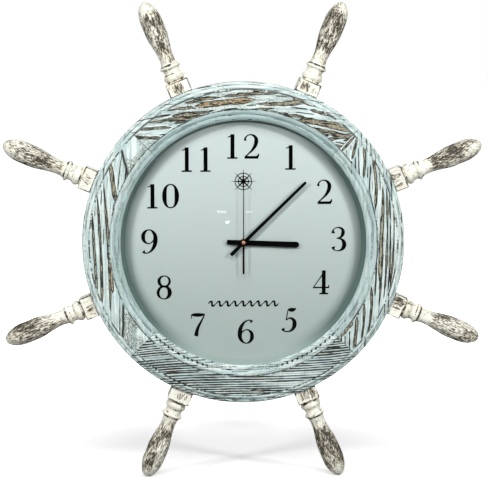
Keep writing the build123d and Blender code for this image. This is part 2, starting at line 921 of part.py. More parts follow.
def hour_hand():
    hole = hour_pipe_radius + press_gap + hand_bush_wall
    bar = bar_outline(hour_hand_tail, hour_hand_length, hour_hand_tail_width, hour_hand_tip_width)
    return hand(bar, hole + hand_hub_rim, hole, hour_hand_front, hour_hand_back, hour_hand_angle)


def hour_hand_bush():
    inner = hour_pipe_radius + press_gap
    return tube(inner + hand_bush_wall - press_gap, inner, hour_hand_front, hour_hand_back)


def minute_hand():
    hole = minute_tube_radius + press_gap + hand_bush_wall
    bar = bar_outline(minute_hand_tail, minute_hand_length, minute_hand_tail_width, minute_hand_tip_width)
    return hand(bar, hole + hand_hub_rim, hole, minute_hand_front, minute_hand_back, minute_hand_angle)


def minute_hand_bush():
    inner = minute_tube_radius + press_gap
    outer = inner + hand_bush_wall - press_gap
    rim = tube(outer + bush_rim_width, inner, minute_hand_front - hand_thickness, minute_hand_front)
    return rim + tube(outer, inner, minute_hand_front, minute_hand_back)


def second_hand():
    hole = arbor_radius + press_gap + cap_tube_wall
    needle = bar_outline(0, second_hand_length, second_hand_width, second_hand_tip_width)
    tail = Pos(0, -second_hand_tail / 2) * Rectangle(second_hand_tail_width, second_hand_tail)
    hub = hole + second_hub_rim
    return hand(needle + tail, hub, hole, second_hand_front, second_hand_back, second_hand_angle)


def second_hand_cap():
    inner = arbor_radius + press_gap
    outer = inner + cap_tube_wall - press_gap
    front = second_hand_front - cap_height
    back = second_hand_front + cap_tube_length
    shoulder = second_hand_front - cap_height / 4
    with BuildSketch() as section:
        with BuildLine():
            Polyline((0, front), (0, second_hand_front - press_gap), (inner, second_hand_front - press_gap),
                     (inner, back), (outer, back), (outer, second_hand_front), (cap_radius, second_hand_front),
                     (cap_radius, shoulder))
            EllipticalCenterArc((0, shoulder), cap_radius, shoulder - front, 270, arc_size=90)
        make_face()
    return revolve(section.sketch, Axis.Y)


# Nodes

def all_nodes():
    nodes = {f"rim_{name}": [rim_segment(name)] for name in segment_centres}
    nodes["rim_splines"] = rim_splines()
    for number, angle in enumerate(handle_angles, 1):
        nodes[f"handle_{number}"] = [handle(angle)]
    nodes["handle_dowels"] = handle_dowels()
    nodes["glass"] = [glass()]
    nodes["spacer_ring"] = [spacer_ring()]
    nodes["dial_plate"] = [dial_plate()]
    nodes["backing_board"] = [backing_board()]
    nodes["board_screws"] = board_screws()
    nodes["hanger_plate"] = [hanger_plate()]
    nodes["hanger_screws"] = hanger_screws()
    nodes["movement_housing"] = [housing()]
    nodes["movement_cover"] = [cover()]
    nodes["mounting_bushing"] = [bushing()]
    nodes["mounting_nut"] = [nut()]
    nodes["mounting_washer"] = [washer()]
    nodes["gasket"] = [gasket()]
    nodes["middle_plate"] = [middle_plate()]
    nodes["battery"] = [battery()]
    nodes["contact_positive"] = [contact(1)]
    nodes["contact_negative"] = [contact(-1)]
    nodes["stator"] = [stator()]
    nodes["coil_core"] = [coil_core()]
    nodes["coil_bobbin"] = [coil_bobbin()]
    nodes["coil_winding"] = [coil_winding()]
    nodes["circuit_board"] = [circuit_board()]
    nodes["quartz_crystal"] = [quartz_crystal()]
    nodes["chip"] = [chip()]
    nodes["rotor_pinion"] = [rotor_pinion()]
    nodes["rotor_magnet"] = [rotor_magnet()]
    nodes["intermediate_wheel"] = [intermediate_wheel()]
    nodes["third_wheel"] = [third_wheel()]
    nodes["second_wheel"] = [second_wheel()]
    nodes["centre_wheel"] = [centre_wheel()]
    nodes["minute_wheel"] = [minute_wheel()]
    nodes["hour_wheel"] = [hour_wheel()]
    nodes["setting_arbor"] = [setting_arbor()]
    nodes["setting_knob"] = [setting_knob()]
    nodes["hour_hand"] = [hour_hand()]
    nodes["hour_hand_bush"] = [hour_hand_bush()]
    nodes["minute_hand"] = [minute_hand()]
    nodes["minute_hand_bush"] = [minute_hand_bush()]
    nodes["second_hand"] = [second_hand()]
    nodes["second_hand_cap"] = [second_hand_cap()]
    return nodes


os.makedirs("parts", exist_ok=True)
for node, shapes in all_nodes().items():
    solids = [solid for shape in shapes for solid in shape.solids()]
    export_step(Compound(children=solids) if len(solids) > 1 else solids[0], f"parts/{node}.step")
print(f"rim {rim_radius * 2:.1f} across and {rim_depth:.1f} deep, {handle_tip * 2:.1f} over the handles")
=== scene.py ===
import math

import bmesh
import bpy
from mathutils import Matrix, Vector, noise


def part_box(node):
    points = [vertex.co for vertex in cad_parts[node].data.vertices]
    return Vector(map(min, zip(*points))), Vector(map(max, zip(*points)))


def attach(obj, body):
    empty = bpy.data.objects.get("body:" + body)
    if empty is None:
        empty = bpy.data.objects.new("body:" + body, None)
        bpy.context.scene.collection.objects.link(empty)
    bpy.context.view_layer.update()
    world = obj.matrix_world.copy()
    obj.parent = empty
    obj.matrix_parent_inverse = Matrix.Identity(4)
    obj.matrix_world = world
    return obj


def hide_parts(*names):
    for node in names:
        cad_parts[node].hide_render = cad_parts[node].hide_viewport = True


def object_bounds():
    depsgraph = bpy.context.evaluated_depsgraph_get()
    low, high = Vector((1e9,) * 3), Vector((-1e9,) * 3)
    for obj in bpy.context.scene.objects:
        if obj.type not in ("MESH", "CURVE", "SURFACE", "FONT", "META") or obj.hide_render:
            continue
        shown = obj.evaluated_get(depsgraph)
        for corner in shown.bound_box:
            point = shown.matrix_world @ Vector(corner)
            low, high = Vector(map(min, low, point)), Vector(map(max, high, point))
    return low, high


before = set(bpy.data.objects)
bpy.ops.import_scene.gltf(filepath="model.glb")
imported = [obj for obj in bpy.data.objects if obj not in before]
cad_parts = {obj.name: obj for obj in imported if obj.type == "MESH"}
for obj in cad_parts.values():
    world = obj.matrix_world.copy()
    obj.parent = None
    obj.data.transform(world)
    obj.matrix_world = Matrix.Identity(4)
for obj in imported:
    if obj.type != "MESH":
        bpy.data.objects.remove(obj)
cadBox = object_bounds()
print("frame loaded")


# Small helpers

def smoothStep(low, high, value):
    share = min(1.0, max(0.0, (value - low) / (high - low)))
    return share * share * (3 - 2 * share)


def wobble(*place):
    return noise.noise(Vector(place))


def rgb(red, green, blue):
    # a colour as it shows on screen, made linear
    return tuple(((c / 255 + 0.055) / 1.055) ** 2.4 for c in (red, green, blue)) + (1.0,)


def meshFrom(name, bm):
    mesh = bpy.data.meshes.new(name)
    bm.to_mesh(mesh)
    bm.free()
    return mesh


def addObject(name, data):
    added = bpy.data.objects.new(name, data)
    bpy.context.scene.collection.objects.link(added)
    return added


def newPiece(name, bm, material, smoothAngle=38):
    mesh = meshFrom(name, bm)
    mesh.shade_smooth()
    mesh.set_sharp_from_angle(angle=math.radians(smoothAngle))
    mesh.materials.append(material)
    piece = addObject(name, mesh)
    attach(piece, "frame")
    return piece


def dress(material, *nodeNames):
    # puts a finish on CAD pieces whose shape stays
    for nodeName in nodeNames:
        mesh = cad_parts[nodeName].data
        mesh.materials.clear()
        mesh.materials.append(material)


# Node helpers

def addNode(tree, kind, inputs, **settings):
    made = tree.nodes.new("ShaderNode" + kind)
    for key, value in settings.items():
        setattr(made, key, value)
    for key, value in inputs.items():
        if isinstance(value, bpy.types.NodeSocket):
            tree.links.new(value, made.inputs[key])
        else:
            made.inputs[key].default_value = value
    return made


def startMaterial(name):
    material = bpy.data.materials.new(name)
    material.use_nodes = True
    tree = material.node_tree
    return material, tree, tree.nodes["Principled BSDF"]


def objectPlace(tree):
    return addNode(tree, "TexCoord", {}).outputs["Object"]


def readAttribute(tree, name, output="Fac"):
    return addNode(tree, "Attribute", {}, attribute_name=name).outputs[output]


def rayKinds(tree):
    return addNode(tree, "LightPath", {}).outputs


def stretched(tree, place, scale):
    return addNode(tree, "Mapping", {"Vector": place, "Scale": scale}).outputs["Vector"]


def cloudy(tree, place, scale, detail=3.0, roughness=0.55, distortion=0.0):
    inputs = {"Vector": place, "Scale": scale, "Detail": detail, "Roughness": roughness,
              "Distortion": distortion}
    return addNode(tree, "TexNoise", inputs).outputs["Fac"]


def woodNoise(tree, board, stretch, *settings):
    # noise along the grain: its stretch, then detail, roughness and distortion
    return cloudy(tree, stretched(tree, board, stretch), 1.0, *settings)


def ranged(tree, value, low, high, start=0.0, end=1.0):
    inputs = {"Value": value, "From Min": low, "From Max": high, "To Min": start, "To Max": end}
    return addNode(tree, "MapRange", inputs, interpolation_type="SMOOTHSTEP").outputs["Result"]


def maths(tree, operation, first, second):
    return addNode(tree, "Math", {0: first, 1: second}, operation=operation).outputs[0]


def blended(tree, share, first, second, mode="MIX"):
    inputs = {0: share, 6: first, 7: second}
    return addNode(tree, "Mix", inputs, data_type="RGBA", blend_type=mode).outputs[2]


def bumped(tree, shader, height, strength, distance):
    made = addNode(tree, "Bump", {"Height": height, "Strength": strength, "Distance": distance})
    tree.links.new(made.outputs["Normal"], shader.inputs["Normal"])


def setShader(tree, shader, **inputs):
    names = {"colour": "Base Color", "roughness": "Roughness", "metallic": "Metallic",
             "specular": "Specular IOR Level", "transmission": "Transmission Weight", "ior": "IOR"}
    for key, value in inputs.items():
        if isinstance(value, bpy.types.NodeSocket):
            tree.links.new(value, shader.inputs[names[key]])
        else:
            shader.inputs[names[key]].default_value = value


def showMix(tree, share, first, second, output="Material Output"):
    # what the tree shows: the first shader, and the second one as far as the share goes
    mixed = addNode(tree, "MixShader", {0: share, 1: first.outputs[0], 2: second.outputs[0]})
    tree.links.new(mixed.outputs[0], tree.nodes[output].inputs["Surface"])


# Aqua paint rubbed back over open grain. First the tones, then each noise with its stretch, detail, roughness
# and distortion, then the range of noise or of carving in which each tone comes in, followed by the least and
# the most of it where they aren't 0 and 1

aquaPaint = {
    # deep is the colour of the painted shade that the tone attribute mixes in
    "light": rgb(230, 242, 238), "middle": rgb(186, 208, 207), "deep": rgb(146, 172, 171),
    "edge": rgb(34, 34, 27), "brown": rgb(126, 122, 102), "ochre": rgb(172, 140, 92),
    "speck": rgb(196, 198, 182), "fleck": rgb(104, 106, 92),
    "streakNoise": ((20.0, 300.0, 300.0), 4.0, 0.6, 0.4),
    "hairNoise": ((60.0, 1300.0, 1300.0), 3.0, 0.6, 0.3),
    "crumbNoise": ((560.0, 900.0, 900.0), 3.0, 0.75),
    "stainNoise": ((14.0, 60.0, 60.0), 2.0, 0.5),
    "fibreNoise": ((110.0, 700.0, 700.0), 3.0, 0.65, 0.4),
    "cloudNoise": (40.0, 3.0, 0.5),
    "lit": (0.38, 0.62), "patches": (0.36, 0.60), "flecks": (0.45, 0.62),
    "scratches": (0.58, 0.68, 0.0, 0.7), "scratched": (0.40, 0.60),
    "stains": (0.50, 0.72, 0.0, 0.25), "specks": (0.49, 0.56, 0.0, 0.85), "fibres": (0.52, 0.45, 0.0, 0.95),
    "edges": (0.02, 0.22), "bared": (0.72, 1.20),
    "roughness": 0.62, "specular": 0.3, "crumbRelief": 0.5, "bump": (0.4, 0.0004),
}


def makeAquaWood():
    material, tree, shader = startMaterial("aquaWood")
    board = readAttribute(tree, "board", "Vector")
    carve, darkMarks, tone, wash, rust = [readAttribute(tree, name)
                                     for name in ("carve", "darkMarks", "tone", "wash", "rust")]
    streaks, hairs, crumbs, stains, fibres = [woodNoise(tree, board, *aquaPaint[name + "Noise"])
                                              for name in ("streak", "hair", "crumb", "stain", "fibre")]
    clouds = cloudy(tree, board, *aquaPaint["cloudNoise"])

    paint = blended(tree, ranged(tree, streaks, *aquaPaint["lit"]), aquaPaint["middle"], aquaPaint["light"])
    # tone mixes in the deep colour: painted shade on each board, its lip and inner bead, and the opening's
    # wall
    paint = blended(tree, tone, paint, aquaPaint["deep"])
    patchy = maths(tree, "MULTIPLY", ranged(tree, clouds, *aquaPaint["patches"]), wash)
    flecks = maths(tree, "MULTIPLY", ranged(tree, crumbs, *aquaPaint["flecks"]), patchy)
    paint = blended(tree, flecks, paint, aquaPaint["fleck"])
    scratches = maths(tree, "MULTIPLY", ranged(tree, hairs, *aquaPaint["scratches"]),
                      ranged(tree, clouds, *aquaPaint["scratched"]))
    paint = blended(tree, scratches, paint, aquaPaint["fleck"])

    ochre = maths(tree, "MAXIMUM", ranged(tree, stains, *aquaPaint["stains"]), rust)
    bare = blended(tree, ochre, aquaPaint["brown"], aquaPaint["ochre"])
    bare = blended(tree, ranged(tree, crumbs, *aquaPaint["specks"]), bare, aquaPaint["speck"])
    bare = blended(tree, ranged(tree, fibres, *aquaPaint["fibres"]), bare, aquaPaint["edge"])

    colour = blended(tree, ranged(tree, carve, *aquaPaint["edges"]), paint, aquaPaint["edge"])
    colour = blended(tree, ranged(tree, carve, *aquaPaint["bared"]), colour, bare)
    colour = blended(tree, darkMarks, colour, aquaPaint["edge"])
    setShader(tree, shader, colour=colour, roughness=aquaPaint["roughness"], specular=aquaPaint["specular"])
    relief = maths(tree, "ADD", streaks, maths(tree, "MULTIPLY", crumbs, aquaPaint["crumbRelief"]))
    bumped(tree, shader, relief, *aquaPaint["bump"])
    return material


# White wash over grey-brown grain, set out like the aqua paint

whiteWash = {
    "cream": rgb(250, 249, 236), "shade": rgb(236, 232, 214), "grain": rgb(168, 160, 140),
    "dark": rgb(44, 38, 30),
    "longNoise": ((120.0, 700.0, 700.0), 3.0, 0.65, 0.4), "longShare": 0.42,
    "fineNoise": ((260.0, 1000.0, 1000.0), 2.0, 0.6, 0.3), "fineShare": 0.36,
    "blotchNoise": ((38.0, 80.0, 80.0), 2.0, 0.5, 0.3),
    "shaded": (0.35, 0.65), "blotches": (0.34, 0.66, 0.07, 0.15), "wear": (0.0, 1.0, -0.16, 0.035),
    "worn": (0.455, 0.525, 0.0, 0.9), "deep": (0.52, 0.555, 0.0, 0.92),
    "breaks": (0.3, 0.7, -0.16, 0.10), "lines": (0.62, 0.76),
    "roughness": 0.6, "specular": 0.3, "bump": (0.5, 0.0005),
}


def makeWhiteWood():
    material, tree, shader = startMaterial("whiteWood")
    board = readAttribute(tree, "board", "Vector")
    wear = readAttribute(tree, "carve")
    darkMarks = readAttribute(tree, "darkMarks")
    long, fine, blotch = [woodNoise(tree, board, *whiteWash[name + "Noise"])
                          for name in ("long", "fine", "blotch")]
    pores = maths(tree, "ADD", maths(tree, "MULTIPLY", long, whiteWash["longShare"]),
                  maths(tree, "MULTIPLY", fine, whiteWash["fineShare"]))
    pores = maths(tree, "ADD", pores, ranged(tree, blotch, *whiteWash["blotches"]))
    pores = maths(tree, "ADD", pores, ranged(tree, wear, *whiteWash["wear"]))
    broken = maths(tree, "ADD", darkMarks, ranged(tree, fine, *whiteWash["breaks"]))
    colour = blended(tree, ranged(tree, blotch, *whiteWash["shaded"]), whiteWash["cream"], whiteWash["shade"])
    colour = blended(tree, ranged(tree, pores, *whiteWash["worn"]), colour, whiteWash["grain"])
    colour = blended(tree, ranged(tree, pores, *whiteWash["deep"]), colour, whiteWash["dark"])
    colour = blended(tree, ranged(tree, broken, *whiteWash["lines"]), colour, whiteWash["dark"])
    setShader(tree, shader, colour=colour, roughness=whiteWash["roughness"], specular=whiteWash["specular"])
    bumped(tree, shader, maths(tree, "MULTIPLY", pores, -1.0), *whiteWash["bump"])
    return material


# Plain finishes: two tones with a pattern of a given scale, and a fine surface

finishPattern = {
    "noise": (4.0, 0.6), "tones": (0.2, 0.8), "unevenShare": 0.15,
    "bumpScale": 3.0, "bumpNoise": (3.0, 0.6),
}


def makeFinish(name, tone, other, scale, roughness, metallic, bump, distance, stretch=(1.0, 1.0, 1.0),
               specular=0.5):
    material, tree, shader = startMaterial(name)
    place = stretched(tree, objectPlace(tree), stretch)
    pattern = cloudy(tree, place, scale, *finishPattern["noise"])
    shown = blended(tree, ranged(tree, pattern, *finishPattern["tones"]), rgb(*tone), rgb(*other))
    uneven = roughness * finishPattern["unevenShare"]
    rough = ranged(tree, pattern, *finishPattern["tones"], roughness - uneven, min(1.0, roughness + uneven))
    setShader(tree, shader, colour=shown, roughness=rough, metallic=metallic, specular=specular)
    fine = cloudy(tree, place, scale * finishPattern["bumpScale"], *finishPattern["bumpNoise"])
    bumped(tree, shader, fine, bump, distance)
    return material


# The dial and the ring around it, with painted light and shade: tones at the top and the bottom, lighter
# above and darker below, the painted shade at both sides of the dial, how far beside the middle and how far
# out it comes in and how deep it gets, and a painted shadow line under the rim's top
dialTones = {
    "upper": rgb(208, 219, 217), "lower": rgb(172, 184, 181), "shade": rgb(84, 104, 99),
    "beside": (0.30, 0.85), "outward": (0.125, 0.143), "most": 0.85,
}
spacerTones = {
    "upper": rgb(214, 226, 222), "lower": rgb(160, 174, 170), "shade": rgb(92, 112, 107),
    "beside": (0.35, 0.85), "outward": (0.050, 0.060), "most": 1.0,
    # line is a painted shadow under the rim's top
    "line": rgb(46, 70, 64), "lineHeight": (0.040, 0.110), "lineReach": (0.1408, 0.1432),
}
dialSurface = {
    "height": (-0.150, 0.150), "roughness": 0.5, "specular": 0.3,
    "noise": (27.0, 3.0, 0.6), "bump": (0.03, 0.0001),
}


def makeShadedFace(name, tones):
    material, tree, shader = startMaterial(name)
    place = objectPlace(tree)
    split = addNode(tree, "SeparateXYZ", {"Vector": place}).outputs
    flat = addNode(tree, "CombineXYZ", {"X": split["X"], "Z": split["Z"]}).outputs["Vector"]
    reach = addNode(tree, "VectorMath", {0: flat}, operation="LENGTH").outputs["Value"]
    # painted light and shade: lighter towards the top of the face, darker towards the bottom
    paint = blended(tree, ranged(tree, split["Z"], *dialSurface["height"]), tones["lower"], tones["upper"])
    # a painted shadow line just under the rim's top
    if "line" in tones:
        paintedLipShadow = maths(tree, "MULTIPLY", ranged(tree, split["Z"], *tones["lineHeight"]),
                      ranged(tree, reach, *tones["lineReach"]))
        paint = blended(tree, paintedLipShadow, paint, tones["line"])
    # painted shade at both sides, growing deeper towards the edge
    beside = maths(tree, "DIVIDE", maths(tree, "ABSOLUTE", split["X"], 0.0), reach)
    outward = maths(tree, "MULTIPLY", ranged(tree, reach, *tones["outward"]), tones["most"])
    paintedSideShade = maths(tree, "MULTIPLY", ranged(tree, beside, *tones["beside"]), outward)
    setShader(tree, shader, colour=blended(tree, paintedSideShade, paint, tones["shade"]),
              roughness=dialSurface["roughness"], specular=dialSurface["specular"])
    bumped(tree, shader, cloudy(tree, place, *dialSurface["noise"]), *dialSurface["bump"])
    return material


pane = {"colour": rgb(254, 255, 255), "roughness": 0.0, "transmission": 1.0, "ior": 1.45, "specular": 0.05}
paneTint = (0.985, 0.992, 0.99, 1.0)


def makeGlass():
    # shadow and diffuse rays pass straight through, and the rest meet clear glass
    material, tree, shader = startMaterial("glassPane")
    setShader(tree, shader, **pane)
    clear = addNode(tree, "BsdfTransparent", {"Color": paneTint})
    rays = rayKinds(tree)
    unbent = maths(tree, "MAXIMUM", rays["Is Shadow Ray"], rays["Is Diffuse Ray"])
    showMix(tree, unbent, shader, clear)
    return material


aquaWood = makeAquaWood()
whiteWood = makeWhiteWood()
dress(makeGlass(), "glass")
dress(makeShadedFace("dialPaintAndShade", dialTones), "dial_plate")
dress(makeShadedFace("spacerPaintAndShade", spacerTones), "spacer_ring")
printInk = makeFinish("printInk", (2, 2, 3), (7, 7, 8), 300.0, 0.85, 0.0, 0.0, 0.0001, specular=0.0)

# The other finishes: name, both tones, the scale of their pattern, roughness, metallic, the strength and
# the depth of their bumps, what else they set, and the pieces that wear them
finishes = [
    ("blackHand", (2, 2, 3), (5, 5, 6), 500.0, 0.6, 0.0, 0.06, 0.0001, {"specular": 0.01},
     ["hour_hand", "minute_hand"]),
    ("secondHandPaint", (22, 4, 6), (30, 7, 10), 500.0, 0.6, 0.0, 0.06, 0.0001, {"specular": 0.01},
     ["second_hand"]),
    ("brassMetal", (205, 160, 92), (178, 132, 70), 400.0, 0.3, 1.0, 0.1, 0.0001, {},
     ["mounting_bushing", "mounting_nut", "mounting_washer", "hour_hand_bush", "minute_hand_bush"]),
    ("copperMetal", (226, 166, 148), (198, 134, 114), 500.0, 0.3, 1.0, 0.1, 0.0001, {}, ["second_hand_cap"]),
    ("hardboard", (126, 92, 62), (98, 70, 46), 220.0, 0.7, 0.0, 0.25, 0.0002, {}, ["backing_board"]),
    ("bareWood", (196, 160, 118), (150, 112, 74), 60.0, 0.7, 0.0, 0.3, 0.0003, {},
     ["rim_splines", "handle_dowels"]),
    ("zincSteel", (186, 188, 186), (150, 153, 152), 160.0, 0.36, 1.0, 0.12, 0.0001, {},
     ["board_screws", "hanger_plate", "hanger_screws"]),
    ("blackCase", (30, 30, 31), (38, 38, 39), 900.0, 0.55, 0.0, 0.35, 0.00012, {},
     ["movement_housing", "movement_cover", "setting_knob"]),
    ("softRubber", (24, 24, 24), (34, 34, 34), 300.0, 0.8, 0.0, 0.2, 0.0001, {}, ["gasket"]),
    ("cellSleeve", (28, 34, 46), (34, 42, 58), 120.0, 0.28, 0.0, 0.05, 0.0001, {}, ["battery"]),
    ("nickelSpring", (192, 188, 176), (160, 156, 146), 300.0, 0.28, 1.0, 0.1, 0.0001, {},
     ["contact_positive", "contact_negative"]),
    ("softIron", (140, 140, 140), (112, 112, 114), 260.0, 0.42, 1.0, 0.15, 0.0001, {},
     ["stator", "coil_core"]),
    ("gearPlastic", (232, 226, 208), (218, 211, 190), 200.0, 0.45, 0.0, 0.08, 0.0001, {},
     ["middle_plate", "coil_bobbin", "second_wheel", "centre_wheel", "minute_wheel", "hour_wheel",
      "third_wheel", "intermediate_wheel", "rotor_pinion", "setting_arbor"]),
    ("copperWire", (190, 104, 60), (140, 68, 36), 900.0, 0.35, 0.7, 0.5, 0.0001,
     {"stretch": (6.0, 1.0, 1.0)}, ["coil_winding"]),
    ("circuitGreen", (22, 92, 52), (16, 74, 42), 500.0, 0.35, 0.0, 0.1, 0.0001, {}, ["circuit_board"]),
    ("crystalCan", (196, 196, 194), (168, 168, 168), 500.0, 0.25, 1.0, 0.08, 0.0001, {},
     ["quartz_crystal"]),
    ("chipResin", (18, 18, 18), (26, 26, 26), 600.0, 0.25, 0.0, 0.1, 0.0001, {}, ["chip"]),
    ("magnetSteel", (70, 70, 74), (54, 54, 58), 600.0, 0.4, 1.0, 0.2, 0.0001, {}, ["rotor_magnet"]),
]
for *settings, extras, wearers in finishes:
    dress(makeFinish(*settings, **extras), *wearers)
print("finishes made")


# Rim: four mitred boards, turned to a moulding and brushed so that the grain stands open

rim = {
    "opening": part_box("rim_right")[0].x / math.cos(math.radians(45)),
    "outside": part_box("rim_right")[1].x,
    "front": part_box("rim_right")[0].y,
    "back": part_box("rim_right")[1].y,
    "glassFront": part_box("glass")[0].y,
    "boardFront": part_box("backing_board")[0].y,
    "lipBead": 0.0060, "lipInside": 0.0046, "lipFoot": 0.0026, "lipCrown": 0.0014,
    "innerBead": 0.0059, "innerInside": 0.0030, "innerFoot": 0.0016, "innerCrown": 0.0014,
    "outerBead": 0.0042, "outerInside": 0.0010, "outerFoot": 0.0024, "outerCrown": 0.0011,
    "fineGroove": 0.0008, "innerGroove": 0.0010, "outerGroove": 0.0016, "grooveUndercut": 0.0004,
    "edgeRound": 0.0030, "edgeDrop": 0.0014, "backChamfer": 0.0010,
    "glassLedge": 0.0080, "boardLedge": 0.0070,
    "beadRows": 9, "flatRows": 50, "edgeRows": 5, "sideRows": 30, "backRows": 7,
    "columns": 540,
}

# How the grain runs on each board: where its middle is, line spacing, bow, slope and wander, the width of a
# line and of an open valley, how rare valleys and unbroken lines are, how ragged the placed valleys are and
# how far lines keep clear of them, how far lines cross each bead, how much the paint is worn, and the painted
# shade on the board, its lip and its inner bead
grains = {
    "top": {
        "centre": 90, "seed": 15.3, "spacing": 0.0058, "arch": 1.0, "slant": 0.0, "twist": 0.0,
        "wander": 0.0050, "line": 0.0012, "open": 0.0040, "rare": -0.06, "ends": -0.36,
        "ragged": 1.0, "clear": 0.002, "lipCross": -0.0012, "innerCross": -0.0012, "outerCross": -0.0006,
        "wash": 1.0, "tone": 0.0, "lipPaintedShade": 0.75, "innerPaintedShade": 0.70},
    "right": {
        "centre": 0, "seed": 4.7, "spacing": 0.0047, "arch": 0.15, "slant": 0.02, "twist": 0.0,
        "wander": 0.0016, "line": 0.0011, "open": 0.0, "rare": 0.05, "ends": -0.30,
        "ragged": 0.45, "clear": 0.002, "lipCross": -0.0014, "innerCross": -0.0012, "outerCross": -0.0004,
        "wash": 0.45, "tone": 0.06, "lipPaintedShade": 0.45, "innerPaintedShade": 0.45},
    "bottom": {
        "centre": 270, "seed": 21.9, "spacing": 0.0029, "arch": 0.0, "slant": 0.0, "twist": 2.8,
        "wander": 0.0007, "line": 0.0013, "open": 0.0005, "rare": 0.25, "ends": -0.50,
        "ragged": 0.6, "clear": 0.0, "lipCross": -0.0008, "innerCross": -0.0008, "outerCross": -0.0003,
        "wash": 0.55, "tone": 0.16, "lipPaintedShade": 0.10, "innerPaintedShade": 0.10},
    "left": {
        "centre": 180, "seed": 34.1, "spacing": 0.0062, "arch": 0.35, "slant": -0.05, "twist": 0.0,
        "wander": 0.0018, "line": 0.0009, "open": 0.0, "rare": 0.15, "ends": -0.18,
        "ragged": 0.45, "clear": 0.002, "lipCross": -0.0014, "innerCross": -0.0012, "outerCross": -0.0004,
        "wash": 0.34, "tone": 0.0, "lipPaintedShade": 0.70, "innerPaintedShade": 0.35},
}

# The straight grain on the outer side of every board, which replaces the values that it names
sideGrain = {"arch": 0.0, "slant": 0.0, "twist": 0.0, "wander": 0.0020, "line": 0.0012, "ends": -0.40}

# Open valleys in the grain, in millimetres: both ends across and up from the middle of the clock, the bow
# between them and the width, and then how much ochre shows, as a share
valleys = {
    "top": [
        (-92, 158, -2, 181, 6.0, 3.8, 0.1), (-60, 161, 14, 169, 0.5, 7.0, 0.9),
        (-122, 141, -60, 148, 0.5, 3.8, 0.1), (58, 146, 134, 132, 2.0, 7.4, 0.3),
        (50, 173, 112, 152, 1.0, 5.4, 0.4), (14, 164, 84, 168, -1.0, 4.6, 0.1),
        (-84, 141, -16, 156, 1.0, 3.4, 0.1), (-30, 153, 40, 159, 1.0, 2.6, 0.0),
        (92, 121, 134, 129, 0.0, 3.2, 0.0), (-86, 149, -30, 157, 0.0, 4.0, 0.1),
        (30, 155, 76, 147, 0.0, 3.4, 0.0), (2, 182, 84, 168, 2.0, 2.6, 0.0),
        (-30, 172, 46, 176, 1.5, 3.4, 0.1), (-130, 126, -92, 124, 0.0, 2.2, 0.0),
        (-128, 135, -84, 137, 0.0, 2.6, 0.0), (70, 137, 126, 124, 1.0, 3.4, 0.2),
        (-70, 165, -24, 172, 1.0, 3.0, 0.2), (74, 158, 118, 144, 1.0, 2.6, 0.1)],
    "right": [
        (175, 57, 171, -63, 3.8, 1.8, 0.1), (170, 66, 168, -78, 3.8, 1.4, 0.0),
        (167, 75, 163, -87, 3.9, 1.9, 0.1), (163, 83, 159, -90, 2.1, 2.6, 0.1),
        (162, 36, 160, -48, 0.6, 4.0, 0.2), (157, -16, 155, -63, 0.0, 1.5, 0.0),
        (150, 107, 154, 35, 3.1, 3.0, 0.6), (149, 95, 147, 58, 0.0, 1.7, 0.0),
        (140, 118, 140, 74, 1.7, 3.2, 0.1), (133, 128, 126, 97, 0.5, 3.4, 0.2),
        (131, 128, 114, 108, 0.0, 3.6, 0.1), (150, -48, 145, -115, 3.1, 2.8, 0.0),
        (142, -69, 139, -118, 1.5, 2.2, 0.0), (134, -85, 130, -130, 0.7, 3.2, 0.0),
        (129, -93, 115, -112, 0.0, 4.2, 0.1), (146, 70, 158, -4, 1.0, 1.2, 0.0)],
    "bottom": [
        (4, -175, 36, -175, 0.0, 1.5, 0.7), (-98, -154, -46, -151.5, 0.0, 1.7, 0.0),
        (98, -119, 118, -116, 0.0, 2.2, 0.0), (92, -126, 118, -123, 0.0, 1.8, 0.0)],
    "left": [
        (-156, 98, -150, 48, 0.0, 4.6, 0.2), (-151, 51, -156, 20, 0.0, 1.4, 0.0),
        (-165, 83, -157, -96, -2.2, 2.4, 0.1), (-157, -18, -154, -60, 0.0, 3.2, 0.7),
        (-172, 65, -167, -81, -1.6, 3.2, 0.3), (-178, 45, -172, -69, 0.0, 2.6, 0.2),
        (-156, -100, -150, -122, 0.0, 1.6, 0.0)],
}

# The pale ends of the left board, each inside a dark line: the line's place and slope, and how the wear in it
# fades outwards
patches = {"left": {
    "start": 0.083, "wander": 0.0008, "edge": 0.0008, "fill": 0.004, "dark": 0.95, "line": (0.0009, 0.0020),
    "wash": 3.2, "fadeReach": (0.010, 0.018),
    "upper": {"across": 0.136, "slope": 0.25, "fade": 2.9},
    "lower": {"across": 0.142, "slope": 0.03, "fade": 1.2},
}}

# The dark notches along the lip of the bottom board
notches = {"bottom": {
    "margin": 0.0009, "waves": 980, "wander": 3, "noise": (60.0, 8.0), "cut": (0.1, 0.6),
    "middle": (0.030, 0.050),
}}

# Brush and paint on all boards: depths in metres, where a line's wall and a valley's edge run, and shares of
# carving, dark, wear and the painted shade on the wall of the opening
brush = {
    "ringShare": 0.45, "valleyRange": 0.42, "evenShare": 0.85, "unevenShare": 0.9, "fray": 0.0007,
    "endRange": 0.25, "ragged": 0.0012, "sway": 0.0018, "valleyEnds": 1.9, "valleyTip": 0.0007,
    "flatness": 0.00005, "touch": 0.0001, "margin": 0.0002, "beadDepth": 0.0048, "wallDepth": 0.0030,
    "mitreGap": 0.0003, "mitreDark": 0.9,
    "lineWall": (-0.0002, 0.0007), "clearing": (-0.0030, -0.0010), "rustEdge": (0.0002, 0.0010),
    "flatDepth": 0.0009, "flatCarve": 0.3,
    "beadCut": 0.0001, "beadCarve": 0.15, "beadMost": 0.6, "beadWash": 0.25,
    "scrapeDark": 0.65, "scrapeRange": (0.40, 0.52),
    "sideOpen": 0.5, "sideCarve": 0.2,
    "dashNoise": (60.0, 320.0), "dashFine": 0.6, "dashRange": 0.25, "wallPaintedShade": 0.30,
}

